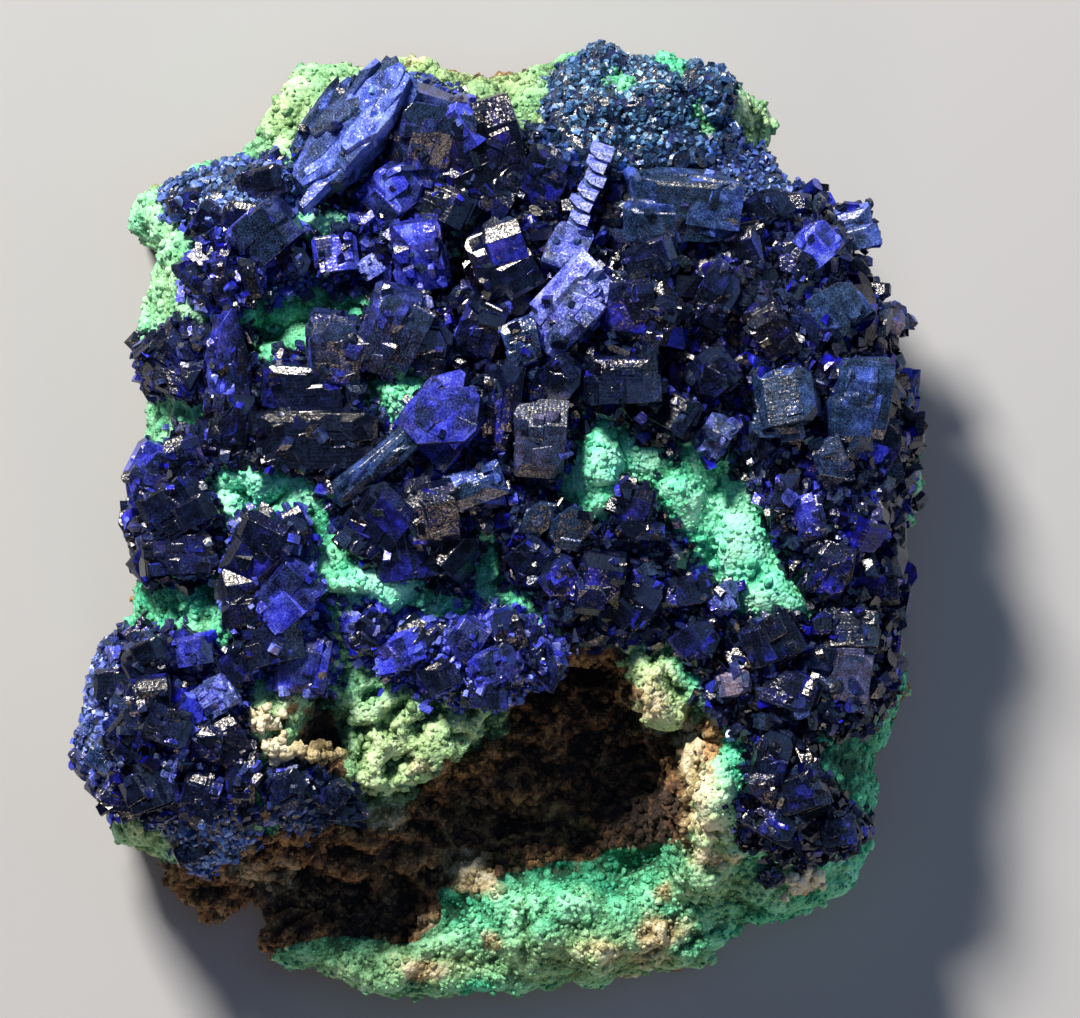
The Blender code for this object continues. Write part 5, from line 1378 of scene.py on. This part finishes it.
azurite, azurite_tree, azurite_shader = blank("azurite_with_natural_faces")
crystal_rng = np.random.default_rng(23)
for name in BEDS:
    depth = bed_depth(name, rock_points)
    sheet = crust_sheet(depth, CRUST_LIFT)
    crust_points, crust_faces = sheet
    bed = Heap(*CRYSTAL_FIELDS)
    bed.put(
        crust_points, crust_faces.ravel(), np.full(len(crust_faces), 3),
        tone=0.12, bloom=0.35, tint=0.0, own_place=crust_points,
    )
    grown = Heap(*CRYSTAL_FIELDS)
    named_crystals(name, grown)
    middling_crystals(name, grown, sheet, crystal_rng)
    points, loops, totals = (np.concatenate(part) for part in (grown.points, grown.loops, grown.totals))
    bed.put(points, loops, totals, **{key: np.concatenate(values) for key, values in grown.fields.items()})
    sources = places_for_sugar(depth, sheet, points, fan(loops, totals))
    if name == "azurite_crust":
        finish_piece(bed, name + "_crystals", name)
        bed = Heap(*CRYSTAL_FIELDS)
        micro_crystals(name, bed, sources, crystal_rng)
        finish_piece(bed, name + "_druse")
    else:
        micro_crystals(name, bed, sources, crystal_rng)
        finish_piece(bed, name + "_crystals", name)

# %% [markdown]
# ## Azurite
# Azurite is copper carbonate again, but in clear crystals of so strong a blue that a millimetre is nearly
# black. Its natural faces are glassy, with an IOR of about 1.76. What the eye reads is therefore three
# things: the deep body colour, ultramarine where light gets in and out again; a sharp glint or a slate
# sheen on whichever faces mirror a light; and a fine bloom where minute growth steps cover a face. The
# crystals here are opaque, so the ultramarine is painted light in the body colour, and part of the slate
# sheen and of the bloom's pale highlights is painted too. Each crystal carries its own place in
# millimetres, so its striations run along its length and the specks sit on its faces, however it is turned.

# %% Build the azurite material
BROWN_PATCH = 1 / 0.37  # mm across a brown patch, so about 2.7
CLOUD = 5 / 3  # mm across the clouds inside a crystal
SPECK = 0.13  # mm between growth hillocks, drawn coarser than the real ones
FILM = 0.90  # mm between the clouds of a bloom
STRIA = 0.19  # mm between striations along the length

tree, shader = azurite_tree, azurite_shader
own = add(tree, "Attribute", {"attribute_name": "own_place"}, {}).outputs["Vector"]
tone = field(tree, "tone")
bloom = field(tree, "bloom")
tint = field(tree, "tint")
flat = add(tree, "NewGeometry", {}, {}).outputs["True Normal"]
cloudy = noise_field(tree, own, 1 / CLOUD, 3.0)
film = noise_field(tree, own, 1 / FILM, 2.0)
fine = noise_field(tree, own, 1 / SPECK, 2.0, Roughness=0.6, Distortion=1.2)
hillocks = add(tree, "TexVoronoi", {"Scale": 1 / SPECK}, {"Vector": own}).outputs["Color"]
striae = add(
    tree, "TexWave",
    {"bands_direction": "Y", "Scale": 1 / STRIA / 6.3, "Distortion": 3.0, "Detail": 2.0, "Detail Scale": 1.5},
    {"Vector": own},
).outputs["Fac"]
# Painted inner reflections: each face of a crystal is painted lighter or darker than the next.
own_number = maths(tree, "MULTIPLY", tone, 90.0)
facing = add(tree, "VectorMath", {"operation": "SCALE", "Scale": 1.4}, {0: flat})
facing = add(tree, "VectorMath", {"operation": "ADD"}, {0: facing.outputs[0], 1: own_number})
inner = noise_field(tree, facing.outputs[0], 1.0, 0.0)
# Painted light: besides the crystal's own depth of blue, this carries the painted ultramarine glow and the
# painted inner reflections.
blue_lightness_and_painted_glow = tone
for part, strength in ((cloudy, 0.80), (film, 0.35), (fine, 0.30), (inner, 1.00)):
    blue_lightness_and_painted_glow = maths(tree, "ADD", blue_lightness_and_painted_glow, swing(tree, part, strength))
body = ramp(
    tree, blue_lightness_and_painted_glow, (0.08, "#01010a"), (0.30, "#040422"), (0.46, "#08094e"), (0.60, "#101296"),
    (0.78, "#232bd0"), (0.98, "#5f76e8"),
)
teal_body = ramp(
    tree, blue_lightness_and_painted_glow,
    (0.08, "#010a18"), (0.30, "#042244"), (0.48, "#0c4076"), (0.66, "#266aa8"), (0.9, "#7ab2dc"),
)
brown_body = ramp(tree, blue_lightness_and_painted_glow, (0.1, "#120a0c"), (0.5, "#3a2a2c"), (0.9, "#8a6a68"))
brown_patches = ramp(tree, noise_field(tree, own, 1 / BROWN_PATCH, 2.0), (0.62, "#000000"), (0.72, "#7f7f7f"))
# Brown body: for the brown and rosy finishes a painted warm reflection, elsewhere random brown patches of
# noise.
body = blend(tree, maths(tree, "ADD", tint, brown_patches, True), body, brown_body)
teal = maths(tree, "MULTIPLY", tint, -1.0, True)
body = blend(tree, teal, body, teal_body)
specks = maths(tree, "ADD", fine, swing(tree, film, 0.35))
crusted = ramp(tree, specks, (0.44, "#383838"), (0.66, "#ffffff"))
veil = maths(tree, "MULTIPLY", maths(tree, "MULTIPLY", bloom, crusted), 0.75, True)
# The bloom's colour: a real frosting, whose paler end is a painted sheen and painted highlights of mirrored
# light.
frost_and_painted_sheen = ramp(tree, blue_lightness_and_painted_glow, (0.20, "#4f74b4"), (0.45, "#6c88de"), (0.75, "#a8bcf8"), (1.0, "#e4e8f4"))
teal_frost_and_painted_sheen = ramp(tree, blue_lightness_and_painted_glow, (0.20, "#4488b4"), (0.45, "#78b2dc"), (0.75, "#b0def4"))
body = blend(tree, veil, body, blend(tree, teal, frost_and_painted_sheen, teal_frost_and_painted_sheen))
tree.links.new(body, shader.inputs["Base Color"])
shader.inputs["IOR"].default_value = 1.76
# Natural faces are a little etched, so they mirror less than cut ones.
shader.inputs["Specular IOR Level"].default_value = 0.40
gloss = maths(tree, "ADD", maths(tree, "MULTIPLY", bloom, 0.20), maths(tree, "MULTIPLY", fine, 0.14))
tree.links.new(maths(tree, "ADD", gloss, 0.11), shader.inputs["Roughness"])
# Some faces are smooth mirrors and others glitter.
how_rough = maths(tree, "MULTIPLY", maths(tree, "SUBTRACT", inner, 0.34), 0.9)
how_rough = maths(tree, "ADD", maths(tree, "MAXIMUM", how_rough, 0.12), maths(tree, "MULTIPLY", bloom, 0.22))
tilted = add(tree, "VectorMath", {"operation": "SUBTRACT", 1: (0.5, 0.5, 0.5)}, {0: hillocks})
facets = add(tree, "VectorMath", {"operation": "SCALE"}, {0: tilted.outputs[0], "Scale": how_rough})
glinting = add(tree, "VectorMath", {"operation": "ADD"}, {0: flat, 1: facets.outputs[0]})
glinting = add(tree, "VectorMath", {"operation": "NORMALIZE"}, {0: glinting.outputs[0]})
relief = maths(tree, "ADD", maths(tree, "MULTIPLY", striae, 0.25), maths(tree, "MULTIPLY", fine, 0.75))
bump = add(
    tree, "Bump", {"Strength": 0.4, "Distance": 0.05 * MM}, {"Height": relief, "Normal": glinting.outputs[0]}
)
tree.links.new(bump.outputs["Normal"], shader.inputs["Normal"])
